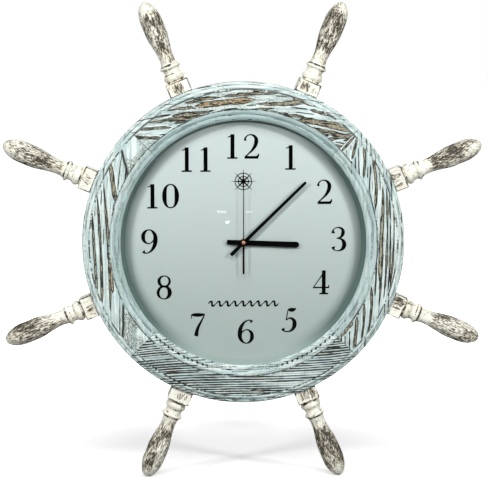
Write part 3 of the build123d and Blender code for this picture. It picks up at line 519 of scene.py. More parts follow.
# The noise in the grain: how fast each kind changes per metre along and across the board, or from line to
# line, and what it adds to the board's seed
grainNoises = {
    "wander": (9.0, 34.0, 0.0), "ring": (80.0, 0.0, 5.0), "valley": (9.0, 3.7, 9.0),
    "width": (40.0, 2.1, 7.0), "fray": (150.0, 420.0, 2.0), "ends": (8.0, 5.3, 3.0),
    "ragged": (120.0, 420.0, 11.0), "sway": (26.0, 80.0, 0.0), "patch": (90.0, 90.0, 0.0),
    "scrape": (34.0, 1500.0, 20.0),
}

# The grooves beside the beads, filled with broken dark lines: from, to, how dark, seed, and how rare
grooves = (
    ("lipEnd", "innerStart", 0.45, 3.0, -0.05), ("innerEnd", "flatStart", 0.75, 7.0, -0.20),
    ("flatEnd", "outerStart", 0.80, 11.0, -0.20), ("outerEnd", "roundStart", 0.45, 15.0, -0.05),
)


def beadRows(start, end, startFoot, endFoot, crown):
    # a round moulding between two radii, standing out to the front
    half = (end - start) / 2
    curve = (half * half + crown * crown) / (2 * crown)
    rows = []
    for row in range(rim["beadRows"] + 1):
        reach = start + (end - start) * row / rim["beadRows"]
        rise = math.sqrt(curve * curve - (reach - start - half) ** 2) - (curve - crown)
        foot = startFoot + (endFoot - startFoot) * row / rim["beadRows"]
        rows.append((reach, foot - rise))
    return rows


def evenRows(start, end, count):
    # points between two, both ends left out
    return [(start[0] + (end[0] - start[0]) * i / count, start[1] + (end[1] - start[1]) * i / count)
            for i in range(1, count)]


rim["lipEnd"] = rim["opening"] + rim["lipBead"]
rim["innerStart"] = rim["lipEnd"] + rim["fineGroove"]
rim["innerEnd"] = rim["innerStart"] + rim["innerBead"]
rim["flatStart"] = rim["innerEnd"] + rim["innerGroove"]
rim["roundStart"] = rim["outside"] - rim["edgeRound"]
rim["outerEnd"] = rim["roundStart"] - rim["fineGroove"]
rim["outerStart"] = rim["outerEnd"] - rim["outerBead"]
rim["flatEnd"] = rim["outerStart"] - rim["outerGroove"]
rim["glassPocket"] = rim["opening"] + rim["glassLedge"]
rim["boardPocket"] = rim["glassPocket"] + rim["boardLedge"]


def rimProfile():
    front = rim["front"]
    lipInside, lipFoot, innerInside, innerFoot, outerInside, outerFoot = [
        front + rim[bead + side] for bead in ("lip", "inner", "outer") for side in ("Inside", "Foot")]
    innerFloor = innerFoot + rim["grooveUndercut"]
    outerFloor = outerInside + rim["grooveUndercut"]
    roundTop = front + rim["edgeDrop"]
    roundFoot = roundTop + rim["edgeRound"]
    rows = [(rim["opening"], rim["glassFront"])]
    rows += evenRows(rows[0], (rim["opening"], lipInside), 3)
    rows += beadRows(rim["opening"], rim["lipEnd"], lipInside, lipFoot, rim["lipCrown"])
    rows += [(rim["innerStart"], innerInside)]
    rows += beadRows(rim["innerStart"], rim["innerEnd"], innerInside, innerFoot, rim["innerCrown"])
    rows += [(rim["innerEnd"], innerFloor), (rim["flatStart"], innerFloor), (rim["flatStart"], front)]
    rows += evenRows((rim["flatStart"], front), (rim["flatEnd"], front), rim["flatRows"])
    rows += [(rim["flatEnd"], front), (rim["flatEnd"], outerFloor), (rim["outerStart"], outerFloor)]
    rows += beadRows(rim["outerStart"], rim["outerEnd"], outerInside, outerFoot, rim["outerCrown"])
    rows += [(rim["roundStart"], outerFoot)]
    for row in range(rim["edgeRows"] + 1):
        turn = math.radians(90) * row / rim["edgeRows"]
        rows.append((rim["roundStart"] + rim["edgeRound"] * math.sin(turn),
                     roundFoot - rim["edgeRound"] * math.cos(turn)))
    sideEnd = (rim["outside"], rim["back"] - rim["backChamfer"])
    backStart = (rim["outside"] - rim["backChamfer"], rim["back"])
    backEnd = (rim["boardPocket"], rim["back"])
    rows += evenRows((rim["outside"], roundFoot), sideEnd, rim["sideRows"]) + [sideEnd, backStart]
    rows += evenRows(backStart, backEnd, rim["backRows"])
    rows += [backEnd, (rim["boardPocket"], rim["boardFront"]), (rim["glassPocket"], rim["boardFront"]),
             (rim["glassPocket"], rim["glassFront"])]
    return rows


def grainNoise(name, grain, along, across):
    perAlong, perAcross, addedSeed = grainNoises[name]
    return wobble(along * perAlong, across * perAcross, grain["seed"] + addedSeed)


def openGrain(grain, along, across, openShare=1.0):
    # how far a place lies inside an open grain line, in metres, and under 0 on the ridges
    line = across + grain["arch"] * along * along + grain["slant"] * along + grain["twist"] * along ** 3
    line += grain["wander"] * grainNoise("wander", grain, along, across)
    ring = line / grain["spacing"] + brush["ringShare"] * grainNoise("ring", grain, line, 0.0)
    index = math.floor(ring)
    offCentre = abs(ring - index - 0.5) * grain["spacing"]
    valley = smoothStep(grain["rare"], grain["rare"] + brush["valleyRange"],
                        grainNoise("valley", grain, along, index))
    uneven = grainNoise("width", grain, along, index)
    width = grain["line"] * (brush["evenShare"] + brush["unevenShare"] * uneven)
    width += grain["open"] * valley * openShare
    width += brush["fray"] * grainNoise("fray", grain, along, across)
    width *= smoothStep(grain["ends"], grain["ends"] + brush["endRange"],
                        grainNoise("ends", grain, along, index))
    return width / 2 - offCentre


def placeValleys(name):
    # the valleys of a board along and across it
    centre = math.radians(grains[name]["centre"])
    outX, outZ = round(math.cos(centre)), round(math.sin(centre))
    placed = []
    for startX, startZ, endX, endZ, bow, width, rust in valleys[name]:
        ends = sorted(((z * outX - x * outZ) / 1000, (x * outX + z * outZ) / 1000)
                      for x, z in ((startX, startZ), (endX, endZ)))
        placed.append((*ends[0], *ends[1], bow / 1000, width / 1000, rust))
    return placed


def inValley(placed, grain, along, across):
    # how far a place lies inside the nearest valley, and how much ochre shows there
    best, ochre = -1.0, 0.0
    ragged = brush["ragged"] * grainNoise("ragged", grain, along, across)
    ragged = (ragged + brush["sway"] * grainNoise("sway", grain, along, across)) * grain["ragged"]
    for startAlong, startAcross, endAlong, endAcross, bow, width, rust in placed:
        if startAlong < along < endAlong:
            share = (along - startAlong) / (endAlong - startAlong)
            middle = startAcross + (endAcross - startAcross) * share + 4 * bow * share * (1 - share)
            half = width / 2 * min(1.0, brush["valleyEnds"] * math.sin(math.pi * share))
            half -= brush["valleyTip"] * (2 * share - 1) ** 6
            inside = half + ragged - abs(across - middle)
            if inside > best:
                best, ochre = inside, rust
    return best, ochre


def addLayers(bm, *names):
    # what the wood finishes read: the place on the board, and a share for each name
    layers = {"board": bm.verts.layers.float_vector.new("board")}
    for name in names:
        layers[name] = bm.verts.layers.float.new(name)
    return layers


def paintFlat(vert, layers, name, placed, along, across, reach):
    grain = grains[name]
    inside = openGrain(grain, along, across)
    fromValley, ochre = inValley(placed, grain, along, across)
    inside = max(inside - grain["clear"] * smoothStep(*brush["clearing"], fromValley), fromValley)
    vert[layers["rust"]] = ochre * smoothStep(*brush["rustEdge"], fromValley)
    vert[layers["wash"]] = grain["wash"]
    if name in patches:
        patch = patches[name]
        end = patch["lower" if along > 0 else "upper"]
        beyond = end["across"] + end["slope"] * (abs(along) - patch["start"]) - across
        beyond += patch["wander"] * grainNoise("patch", grain, along, across)
        covered = smoothStep(0.0, patch["edge"], beyond)
        inside -= patch["fill"] * covered
        vert[layers["darkMarks"]] = patch["dark"] * (1 - smoothStep(*patch["line"], abs(beyond)))
        outer = smoothStep(*patch["fadeReach"], reach - rim["flatStart"])
        vert[layers["wash"]] = max(grain["wash"], covered * (patch["wash"] - end["fade"] * outer))
    vert[layers["carve"]] = max(0.0, inside * 1000 + brush["flatCarve"])
    vert.co.y += brush["flatDepth"] * smoothStep(*brush["lineWall"], inside)


def paintBead(vert, layers, grain, along, across, reach, sweep):
    crossing = grain["lipCross"] if reach < rim["lipEnd"] else grain["outerCross"]
    if rim["innerStart"] < reach < rim["innerEnd"]:
        crossing = grain["innerCross"]
    inside = openGrain(grain, along, across, 0.0) + crossing / 2
    vert[layers["carve"]] = min(brush["beadMost"], max(0.0, inside * 1000 + brush["beadCarve"]))
    vert[layers["wash"]] = brush["beadWash"]
    # painted shade on the lip and the inner bead, by board
    if reach < rim["innerEnd"] + brush["touch"]:
        onLip = reach < rim["lipEnd"] + brush["touch"]
        vert[layers["tone"]] = grain["lipPaintedShade"] if onLip else grain["innerPaintedShade"]
    vert.co.y += brush["beadCut"] * smoothStep(*brush["lineWall"], inside)
    scrape = grainNoise("scrape", grain, sweep, reach)
    vert[layers["darkMarks"]] = brush["scrapeDark"] * smoothStep(*brush["scrapeRange"], scrape)


def darkenGrooves(vert, darkMarks, name, reach, sweep):
    coarse, fine = brush["dashNoise"]
    for low, high, most, seed, rare in grooves:
        if rim[low] - brush["touch"] < reach < rim[high] + brush["touch"]:
            dashes = wobble(sweep * coarse, seed, grains[name]["seed"])
            dashes += brush["dashFine"] * wobble(sweep * fine, seed, 1.0)
            vert[darkMarks] = most * smoothStep(rare, rare + brush["dashRange"], dashes)


def cutNotches(vert, darkMarks, settings, reach, sweep):
    if rim["lipEnd"] - settings["margin"] < reach < rim["innerStart"] + settings["margin"]:
        perMetre, seed = settings["noise"]
        wave = math.sin(sweep * settings["waves"] + settings["wander"] * wobble(sweep * perMetre, 0.0, seed))
        vert[darkMarks] = smoothStep(*settings["cut"], wave) * smoothStep(*settings["middle"], abs(sweep))


def paintBoard(bm, name):
    grain = grains[name]
    placed = placeValleys(name)
    layers = addLayers(bm, "carve", "darkMarks", "tone", "wash", "rust")
    outX, outZ = math.cos(math.radians(grain["centre"])), math.sin(math.radians(grain["centre"]))
    frontLimit = rim["front"] + brush["beadDepth"]
    straight = {**grain, **sideGrain}
    for vert in bm.verts:
        x, y, z = vert.co
        reach = math.hypot(x, z)
        across = x * outX + z * outZ
        along = z * outX - x * outZ
        sweep = math.atan2(along, across) * reach
        onFlat = y < rim["front"] + brush["flatness"]
        vert[layers["board"]] = (along, across, y + grain["seed"])
        # painted shade over the whole board
        vert[layers["tone"]] = grain["tone"]
        if onFlat:
            paintFlat(vert, layers, name, placed, along, across, reach)
        elif y < frontLimit and reach > rim["opening"] + 2 * brush["margin"]:
            paintBead(vert, layers, grain, along, across, reach, sweep)
        elif reach > rim["outside"] - brush["margin"]:
            inside = openGrain(straight, sweep, y, brush["sideOpen"])
            vert[layers["carve"]] = min(1.0, max(0.0, inside * 1000 + brush["sideCarve"]))
            vert[layers["wash"]] = grain["wash"]
        if y < frontLimit:
            if not onFlat:
                darkenGrooves(vert, layers["darkMarks"], name, reach, sweep)
            if name in notches:
                cutNotches(vert, layers["darkMarks"], notches[name], reach, sweep)
        # painted shade on the wall of the opening
        if reach < rim["opening"] + brush["margin"] and y < frontLimit + brush["wallDepth"]:
            vert[layers["tone"]] = min(1.0, grain["tone"] + brush["wallPaintedShade"])
        if (across - abs(along)) * math.sqrt(0.5) < brush["margin"]:
            vert[layers["darkMarks"]] = brush["mitreDark"]
            if y < frontLimit:
                vert.co.y += brush["mitreGap"]


def makeRimBoard(name):
    grain = grains[name]
    profile = rimProfile()
    rows, columns = len(profile), rim["columns"]
    bm = bmesh.new()
    bmesh.ops.create_grid(bm, x_segments=rows, y_segments=columns, size=0.5)
    for vert in bm.verts:
        reach, depth = profile[round((vert.co.x + 0.5) * rows) % rows]
        turn = math.radians(grain["centre"] + 90 * vert.co.y)
        vert.co = (reach * math.cos(turn), depth, reach * math.sin(turn))
    bmesh.ops.remove_doubles(bm, verts=bm.verts[:], dist=0.000001)
    bmesh.ops.holes_fill(bm, edges=[edge for edge in bm.edges if edge.is_boundary], sides=0)
    bmesh.ops.recalc_face_normals(bm, faces=bm.faces[:])
    paintBoard(bm, name)
    piece = newPiece("rimBoard_" + name, bm, aquaWood, 50)
    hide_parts("rim_" + name)
    return piece


def cutHangerPocket(piece):
    # the shallow pocket in the back of the top board that holds the hanger plate
    low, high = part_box("hanger_plate")
    gap, corner = 0.0002, 0.0042
    bm = bmesh.new()
    bmesh.ops.create_cube(bm, size=1.0)
    size = Vector((high.x - low.x + gap * 2, (high.y - low.y) * 2, high.z - low.z + gap * 2))
    bmesh.ops.scale(bm, vec=size, verts=bm.verts[:])
    corners = [edge for edge in bm.edges if abs((edge.verts[0].co - edge.verts[1].co).normalized().y) > 0.9]
    bmesh.ops.bevel(bm, geom=corners, offset=corner, offset_type="OFFSET", affect="EDGES", segments=6,
                    profile=0.5, material=-1)
    bmesh.ops.translate(bm, vec=((low.x + high.x) / 2, high.y, (low.z + high.z) / 2), verts=bm.verts[:])
    cutter = addObject("hangerCutter", meshFrom("hangerCutter", bm))
    cut = piece.modifiers.new("hangerPocket", "BOOLEAN")
    cut.operation = "DIFFERENCE"
    cut.solver = "EXACT"
    cut.object = cutter
    bpy.context.view_layer.update()
    done = bpy.data.meshes.new_from_object(piece.evaluated_get(bpy.context.evaluated_depsgraph_get()))
    piece.modifiers.remove(cut)
    piece.data = done
    bpy.data.objects.remove(cutter)


for boardName in grains:
    rimBoard = makeRimBoard(boardName)
    if boardName == "top":
        cutHangerPocket(rimBoard)
print("rim boards turned and brushed")


# Handles: a square block and one turned spindle each

spindle = {
    "blockWidth": 0.0270, "blockLength": 0.0160, "blockBevel": 0.0008, "blockCuts": 15,
    "footRadius": 0.0102, "footSunk": 0.0010, "grooveLength": 0.0015,
    "collarLength": 0.0086, "collarRadius": 0.0124,
    "waistLength": 0.0058, "waistRadius": 0.0096,
    "ringLength": 0.0048, "ringRadius": 0.0124,
    "coveLength": 0.0088, "coveBend": 2.2, "neckRadius": 0.0086,
    "swellLength": 0.0330, "gripRadius": 0.0127,
    "gripLength": 0.0120, "endLength": 0.0250,
    "beadRows": 10, "coveRows": 8, "swellRows": 24, "gripRows": 12, "endRows": 18,
    "turns": 56,
    "firstAngle": 22.5, "count": 8, "seed": 1.7, "depthSeed": 0.31, "blockSeed": 0.5,
}
spindle["seat"] = math.sqrt(rim["outside"] ** 2 - (spindle["blockWidth"] / 2) ** 2)

# Wear on the handles: how much of the grain shows on each stretch and how softly it starts, the dark lines at
# the collar, the waist and the ring, the dents in the grip, the worn middle and dark edges of the block, and
# how fast the noise in each changes, along the handle first and then around it
handleWear = {
    "least": 0.10, "marks": 0.60, "markRange": (0.12, 0.40),
    "neck": 0.60, "neckFade": 0.005, "grip": 0.40, "gripFade": 0.018, "tip": 0.38, "tipFade": (0.028, 0.004),
    "lines": (0.86, 0.72, 0.70, 1.0), "lineWidth": 0.004, "lineBreaks": (0.75, 0.5), "lineLeast": 0.15,
    "dent": 0.00035, "dentRange": (0.0, 0.5), "dentFade": 0.01,
    "blockBreaks": (0.95, 0.35), "blockLeast": 0.15, "blockMost": 0.80, "blockRange": (0.002, 0.011),
    "blockWander": 0.006, "blockFlat": 0.7,
    "markNoise": (150.0, 2.2), "lineNoise": (90, 1.6), "dentNoise": (55.0, 420.0), "edgeNoise": 70,
    "middleNoise": 60,
}


def spindleProfile():
    # radius along the handle, from the block outwards
    foot, neck, grip = spindle["footRadius"], spindle["neckRadius"], spindle["gripRadius"]
    place = spindle["seat"] + spindle["blockLength"]
    rows = [(place - spindle["footSunk"], 0.0), (place - spindle["footSunk"], foot), (place, foot),
            (place + spindle["grooveLength"], foot)]

    def addStretch(length, count, radiusAt):
        start = rows[-1][0]
        for row in range(1, count + 1):
            rows.append((start + spindle[length] * row / count, radiusAt(row / count)))

    for part in ("collar", "waist", "ring"):
        crown = spindle[part + "Radius"] - foot
        addStretch(part + "Length", spindle["beadRows"], lambda share: foot + crown * 4 * share * (1 - share))
    addStretch("coveLength", spindle["coveRows"],
               lambda share: neck + (foot - neck) * (1 - share) ** spindle["coveBend"])
    addStretch("swellLength", spindle["swellRows"],
               lambda share: neck + (grip - neck) * smoothStep(0.0, 1.0, share))
    addStretch("gripLength", spindle["gripRows"], lambda share: grip)
    gripEnd = rows[-1][0]
    for row in range(1, spindle["endRows"] + 1):
        turn = math.radians(90) * row / spindle["endRows"]
        rows.append((gripEnd + spindle["endLength"] * math.sin(turn), grip * math.cos(turn)))
    rows[-1] = (rows[-1][0], 0.0)
    return rows


def makeSpindle(seed):
    bm = bmesh.new()
    profile = spindleProfile()
    verts = [bm.verts.new((along, 0.0, radius)) for along, radius in profile]
    edges = [bm.edges.new((verts[i], verts[i + 1])) for i in range(len(verts) - 1)]
    bmesh.ops.spin(bm, geom=verts + edges, cent=(0, 0, 0), axis=(1, 0, 0), dvec=(0, 0, 0),
                   angle=math.radians(360), steps=spindle["turns"], use_merge=True, use_duplicate=False)
    bmesh.ops.remove_doubles(bm, verts=bm.verts[:], dist=0.00001)
    bmesh.ops.recalc_face_normals(bm, faces=bm.faces[:])
    layers = addLayers(bm, "carve", "darkMarks")
    collarStart = spindle["seat"] + spindle["blockLength"] + spindle["grooveLength"]
    collarEnd = collarStart + spindle["collarLength"]
    ringStart = collarEnd + spindle["waistLength"]
    ringEnd = ringStart + spindle["ringLength"]
    gripStart = ringEnd + spindle["coveLength"]
    tip = profile[-1][0]
    tipLow, tipHigh = [tip - fade for fade in handleWear["tipFade"]]
    even, uneven = handleWear["lineBreaks"]
    markAlong, markAround = handleWear["markNoise"]
    lineAlong, lineAround = handleWear["lineNoise"]
    dentAlong, dentAround = handleWear["dentNoise"]
    for vert in bm.verts:
        x, y, z = vert.co
        turn = math.atan2(z, y)
        vert[layers["board"]] = (x + seed, y + seed * spindle["depthSeed"], z)
        marks = wobble(x * markAlong + seed, math.cos(turn) * markAround, math.sin(turn) * markAround)
        marks = smoothStep(*handleWear["markRange"], marks)
        collars = handleWear["least"] + handleWear["marks"] * marks
        neck = handleWear["neck"] * smoothStep(ringEnd, ringEnd + handleWear["neckFade"], x)
        grip = handleWear["grip"] * smoothStep(gripStart, gripStart + handleWear["gripFade"], x)
        vert[layers["carve"]] = max(collars, neck + grip) - handleWear["tip"] * smoothStep(tipLow, tipHigh, x)
        around = (math.cos(turn) * lineAround, math.sin(turn) * lineAround)
        for place, most in zip((collarStart, collarEnd, ringStart, ringEnd), handleWear["lines"]):
            broken = wobble(*around, place * lineAlong + seed)
            near = 1 - min(1.0, abs(x - place) / handleWear["lineWidth"])
            dark = min(1.0, most * (even + uneven * broken) + handleWear["lineLeast"]) * near
            vert[layers["darkMarks"]] = max(vert[layers["darkMarks"]], dark)
        if x > gripStart:
            depth = wobble(x * dentAlong, y * dentAround + seed, z * dentAround)
            depth = handleWear["dent"] * smoothStep(*handleWear["dentRange"], depth)
            depth *= smoothStep(gripStart, gripStart + handleWear["dentFade"], x)
            vert.co -= Vector((0.0, y, z)).normalized() * depth
    return bm


def makeBlock(seed):
    bm = bmesh.new()
    bmesh.ops.create_cube(bm, size=1.0)
    length, width = spindle["blockLength"], spindle["blockWidth"]
    bmesh.ops.scale(bm, vec=(length, width, width), verts=bm.verts[:])
    bmesh.ops.bevel(bm, geom=bm.edges[:], offset=spindle["blockBevel"], offset_type="OFFSET",
                    affect="EDGES", segments=2, profile=0.5, material=-1)
    longEdges = [edge for edge in bm.edges if edge.calc_length() > length / 3]
    bmesh.ops.subdivide_edges(bm, edges=longEdges, cuts=spindle["blockCuts"], use_grid_fill=True)
    bmesh.ops.recalc_face_normals(bm, faces=bm.faces[:])
    layers = addLayers(bm, "carve", "darkMarks")
    even, uneven = handleWear["blockBreaks"]
    perEdge, perMiddle = handleWear["edgeNoise"], handleWear["middleNoise"]
    for vert in bm.verts:
        x, y, z = vert.co
        fromEdge = sorted((length / 2 - abs(x), width / 2 - abs(y), width / 2 - abs(z)))[1]
        broken = even + uneven * wobble(x * perEdge + seed, y * perEdge, z * perEdge)
        dark = broken * (1 - min(1.0, fromEdge / handleWear["lineWidth"]))
        vert[layers["darkMarks"]] = max(dark, 1.0 - min(1.0, (x + length / 2) / handleWear["lineWidth"]))
        middle = math.hypot(x, z * handleWear["blockFlat"])
        middle += handleWear["blockWander"] * wobble(x * perMiddle + seed, y * perMiddle, z * perMiddle)
        worn = 1 - smoothStep(*handleWear["blockRange"], middle)
        vert[layers["carve"]] = handleWear["blockLeast"] + handleWear["blockMost"] * worn
        vert[layers["board"]] = (x + seed + spindle["blockSeed"], y + seed * spindle["depthSeed"], z)
    bmesh.ops.translate(bm, vec=(spindle["seat"] + length / 2, 0, 0), verts=bm.verts[:])
    return bm


def joinInto(target, source):
    mesh = meshFrom("joining", source)
    target.from_mesh(mesh)
    bpy.data.meshes.remove(mesh)


for handleNumber in range(1, spindle["count"] + 1):
    handleAngle = spindle["firstAngle"] + 360 / spindle["count"] * (handleNumber - 1)
    handleMesh = makeSpindle(handleNumber * spindle["seed"])
    joinInto(handleMesh, makeBlock(handleNumber * spindle["seed"]))
    turned = Matrix.Rotation(math.radians(-handleAngle), 4, "Y")
    bmesh.ops.transform(handleMesh, matrix=turned, verts=handleMesh.verts[:])
    handlePiece = newPiece(f"turnedHandle_{handleNumber}", handleMesh, whiteWood, 40)
    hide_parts(f"handle_{handleNumber}")
print("handles turned")


# Dial print: upright numerals with thick stems and thin hairlines

printing = {
    "front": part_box("dial_plate")[0].y,
    "rise": 0.00002,
    "flatness": 0.03,
    "slab": 0.00006,
    "height": 0.0287,
    "weight": 1.30,
    "slabGrowth": 0.011,
}

# Each figure in shares of its height: strokes and loops of (across, up, thickness), and slabs of
# (left, right, low, high)
figureShares = {
    "0": {"width": 0.66, "loops": [
        [(0.33, 0.98, 0.04), (0.585, 0.5, 0.145), (0.33, 0.02, 0.04), (0.075, 0.5, 0.145)]]},
    "1": {"width": 0.39, "slabs": [(0.135, 0.275, 0.02, 0.985), (0.0, 0.40, 0.0, 0.042)],
          "strokes": [[(0.01, 0.875, 0.03), (0.10, 0.905, 0.04), (0.205, 0.975, 0.05)]]},
    "2": {"width": 0.63, "slabs": [(0.05, 0.59, 0.0, 0.09)],
          "strokes": [[(0.06, 0.73, 0.085), (0.085, 0.86, 0.05), (0.28, 0.975, 0.04), (0.49, 0.86, 0.10),
                       (0.515, 0.66, 0.125), (0.40, 0.40, 0.085), (0.20, 0.19, 0.045), (0.06, 0.06, 0.05)],
                      [(0.55, 0.05, 0.09), (0.60, 0.11, 0.06), (0.63, 0.20, 0.03)]]},
    "3": {"width": 0.60, "strokes": [
        [(0.07, 0.74, 0.12), (0.08, 0.88, 0.045), (0.27, 0.98, 0.04), (0.46, 0.89, 0.09),
         (0.475, 0.73, 0.115), (0.38, 0.58, 0.06), (0.22, 0.535, 0.035)],
        [(0.22, 0.535, 0.035), (0.40, 0.50, 0.06), (0.52, 0.36, 0.125), (0.50, 0.15, 0.12),
         (0.32, 0.02, 0.045), (0.12, 0.06, 0.045), (0.07, 0.18, 0.13)]]},
    "4": {"width": 0.67,
          "slabs": [(0.375, 0.51, 0.02, 0.98), (0.0, 0.66, 0.255, 0.295), (0.27, 0.62, 0.0, 0.042)],
          "strokes": [[(0.015, 0.28, 0.03), (0.25, 0.62, 0.035), (0.49, 0.965, 0.045)],
                      [(0.60, 0.28, 0.03), (0.64, 0.31, 0.035), (0.655, 0.38, 0.025)]]},
    "5": {"width": 0.62, "strokes": [
        [(0.275, 0.93, 0.035), (0.235, 0.70, 0.035), (0.20, 0.49, 0.035)],
        [(0.20, 0.49, 0.035), (0.33, 0.575, 0.05), (0.49, 0.52, 0.10), (0.545, 0.31, 0.14),
         (0.44, 0.09, 0.085), (0.25, 0.015, 0.04), (0.11, 0.05, 0.055), (0.06, 0.15, 0.125)],
        [(0.275, 0.95, 0.05), (0.36, 0.93, 0.115), (0.50, 0.935, 0.115), (0.61, 0.985, 0.04)]]},
    "6": {"width": 0.65, "strokes": [
        [(0.58, 0.90, 0.115), (0.51, 0.975, 0.05), (0.36, 0.96, 0.045), (0.17, 0.78, 0.10),
         (0.075, 0.45, 0.14), (0.13, 0.16, 0.10), (0.33, 0.02, 0.04), (0.52, 0.12, 0.09),
         (0.58, 0.31, 0.125), (0.51, 0.51, 0.08), (0.35, 0.585, 0.04), (0.19, 0.50, 0.045),
         (0.11, 0.38, 0.05)]]},
    "7": {"width": 0.585, "strokes": [
        [(0.03, 0.94, 0.06), (0.16, 0.94, 0.11), (0.38, 0.94, 0.11), (0.57, 0.965, 0.05)],
        [(0.045, 0.97, 0.045), (0.02, 0.88, 0.035), (0.012, 0.78, 0.025)],
        [(0.565, 0.95, 0.04), (0.43, 0.68, 0.06), (0.28, 0.38, 0.095), (0.205, 0.05, 0.135)]]},
    "8": {"width": 0.64, "loops": [
        [(0.33, 0.978, 0.038), (0.55, 0.77, 0.075), (0.335, 0.535, 0.065), (0.11, 0.77, 0.105)],
        [(0.335, 0.545, 0.065), (0.55, 0.27, 0.135), (0.32, 0.022, 0.038), (0.07, 0.27, 0.095)]]},
}

# the 9 is the 6 turned over
sixWide, sixStroke = figureShares["6"]["width"], figureShares["6"]["strokes"][0]
figureShares["9"] = {"width": sixWide, "strokes": [
    [(sixWide - across, 1.0 - up, thick) for across, up, thick in sixStroke]]}

# Each numeral's middle on the dial and the gap between its figures
numerals = [
    ("12", -0.0002, 0.1139, 0.27), ("1", 0.0556, 0.1008, 0.0), ("2", 0.0958, 0.0600, 0.0),
    ("3", 0.1131, 0.0036, 0.0), ("4", 0.0926, -0.0478, 0.0), ("5", 0.0542, -0.0932, 0.0),
    ("6", 0.0030, -0.1071, 0.0), ("7", -0.0539, -0.0991, 0.0), ("8", -0.0941, -0.0534, 0.0),
    ("9", -0.1113, 0.0015, 0.0), ("10", -0.0948, 0.0553, 0.23), ("11", -0.0559, 0.0985, 0.38),
]


def inkStroke(bm, points, closed=False):
    # a brush line of changing thickness: a round tube pressed flat on the dial
    curve = bpy.data.curves.new("ink", "CURVE")
    curve.dimensions = "3D"
    curve.resolution_u = 8
    curve.bevel_depth = 1.0
    curve.bevel_resolution = 2
    curve.use_fill_caps = True
    spline = curve.splines.new("BEZIER")
    spline.bezier_points.add(len(points) - 1)
    spline.radius_interpolation = "CARDINAL"
    spline.use_cyclic_u = closed
    for point, (across, up, thick) in zip(spline.bezier_points, points):
        point.co = (across, 0.0, up)
        point.handle_left_type = point.handle_right_type = "AUTO"
        point.radius = thick * printing["weight"] / 2
    stroke = bpy.data.objects.new("ink", curve)
    mesh = bpy.data.meshes.new_from_object(stroke)
    mesh.transform(Matrix.Diagonal((1.0, printing["flatness"], 1.0, 1.0)))
    bm.from_mesh(mesh)
    bpy.data.objects.remove(stroke)
    bpy.data.curves.remove(curve)
    bpy.data.meshes.remove(mesh)


def inkSlab(bm, left, right, low, high, thick):
    made = bmesh.ops.create_cube(bm, size=1.0)["verts"]
    growth = printing["slabGrowth"] * 2
    bmesh.ops.scale(bm, vec=(right - left + growth, thick, high - low + growth), verts=made)
    bmesh.ops.translate(bm, vec=((left + right) / 2, 0, (low + high) / 2), verts=made)


def drawFigure(bm, figure, shift, height):
    shape = figureShares[figure]
    own = bmesh.new()
    for stroke in shape.get("strokes", []):
        inkStroke(own, stroke)
    for loop in shape.get("loops", []):
        inkStroke(own, loop, closed=True)
    for slab in shape.get("slabs", []):
        inkSlab(own, *slab, printing["slab"] / height)
    bmesh.ops.translate(own, vec=(shift, 0, 0), verts=own.verts[:])
    joinInto(bm, own)


def onDial(bm, across, up, scale):
    bmesh.ops.scale(bm, vec=(scale, scale, scale), verts=bm.verts[:])
    bmesh.ops.translate(bm, vec=(across, printing["front"] - printing["rise"], up), verts=bm.verts[:])


for numeral, middleX, middleZ, figureGap in numerals:
    numeralMesh = bmesh.new()
    wide = sum(figureShares[figure]["width"] for figure in numeral) + figureGap * (len(numeral) - 1)
    shift = -wide / 2
    for figure in numeral:
        drawFigure(numeralMesh, figure, shift, printing["height"])
        shift += figureShares[figure]["width"] + figureGap
    bmesh.ops.translate(numeralMesh, vec=(0, 0, -0.5), verts=numeralMesh.verts[:])
    onDial(numeralMesh, middleX, middleZ, printing["height"])
    newPiece("numeral_" + numeral, numeralMesh, printInk)


# Compass star and a line of waves

star = {
    "up": 0.0724, "corners": 16, "long": 0.0162, "waist": 0.0025,
    "ring": 0.0098, "innerRing": 0.0060, "line": 0.0008,
}


def drawCircle(bm, radius, thick):
    quarters = ((radius, 0), (0, radius), (-radius, 0), (0, -radius))
    inkStroke(bm, [(across, up, thick) for across, up in quarters], closed=True)


starMesh = bmesh.new()
corners = bmesh.ops.create_circle(starMesh, cap_ends=True, cap_tris=True, segments=star["corners"],
                                  radius=1.0)["verts"]
upright = Matrix.Rotation(math.radians(90), 3, "X")
bmesh.ops.rotate(starMesh, cent=(0, 0, 0), matrix=upright, verts=starMesh.verts[:])
for corner in corners:
    heading = round(math.degrees(math.atan2(corner.co.z, corner.co.x)) * star["corners"] / 360)
    if corner.co.length > 0.5:
        corner.co *= star["long"] if heading % 2 == 0 else star["waist"]
bmesh.ops.solidify(starMesh, geom=starMesh.faces[:], thickness=printing["slab"])
drawCircle(starMesh, star["ring"], star["line"])
drawCircle(starMesh, star["innerRing"], star["line"])
onDial(starMesh, 0.0, star["up"], 1.0)
newPiece("compassStar", starMesh, printInk)

waves = {"up": -0.0732, "length": 0.084, "count": 9, "rise": 0.0026, "thick": 0.0018, "thin": 0.0008,
         "lean": 0.0016}
waveMesh = bmesh.new()
wavePoints = []
for step in range(waves["count"] * 4 + 1):
    share = step / (waves["count"] * 4)
    height = waves["rise"] * math.sin(math.radians(90) * step)
    thick = waves["thin"] if step % 4 == 0 else waves["thick"]
    lean = waves["lean"] * math.sin(math.radians(90) * step)
    wavePoints.append((waves["length"] * (share - 0.5) + lean, height, thick))
inkStroke(waveMesh, wavePoints)
onDial(waveMesh, 0.0, waves["up"], 1.0)
newPiece("waveLine", waveMesh, printInk)
print("dial printed")


# Floor, light and camera

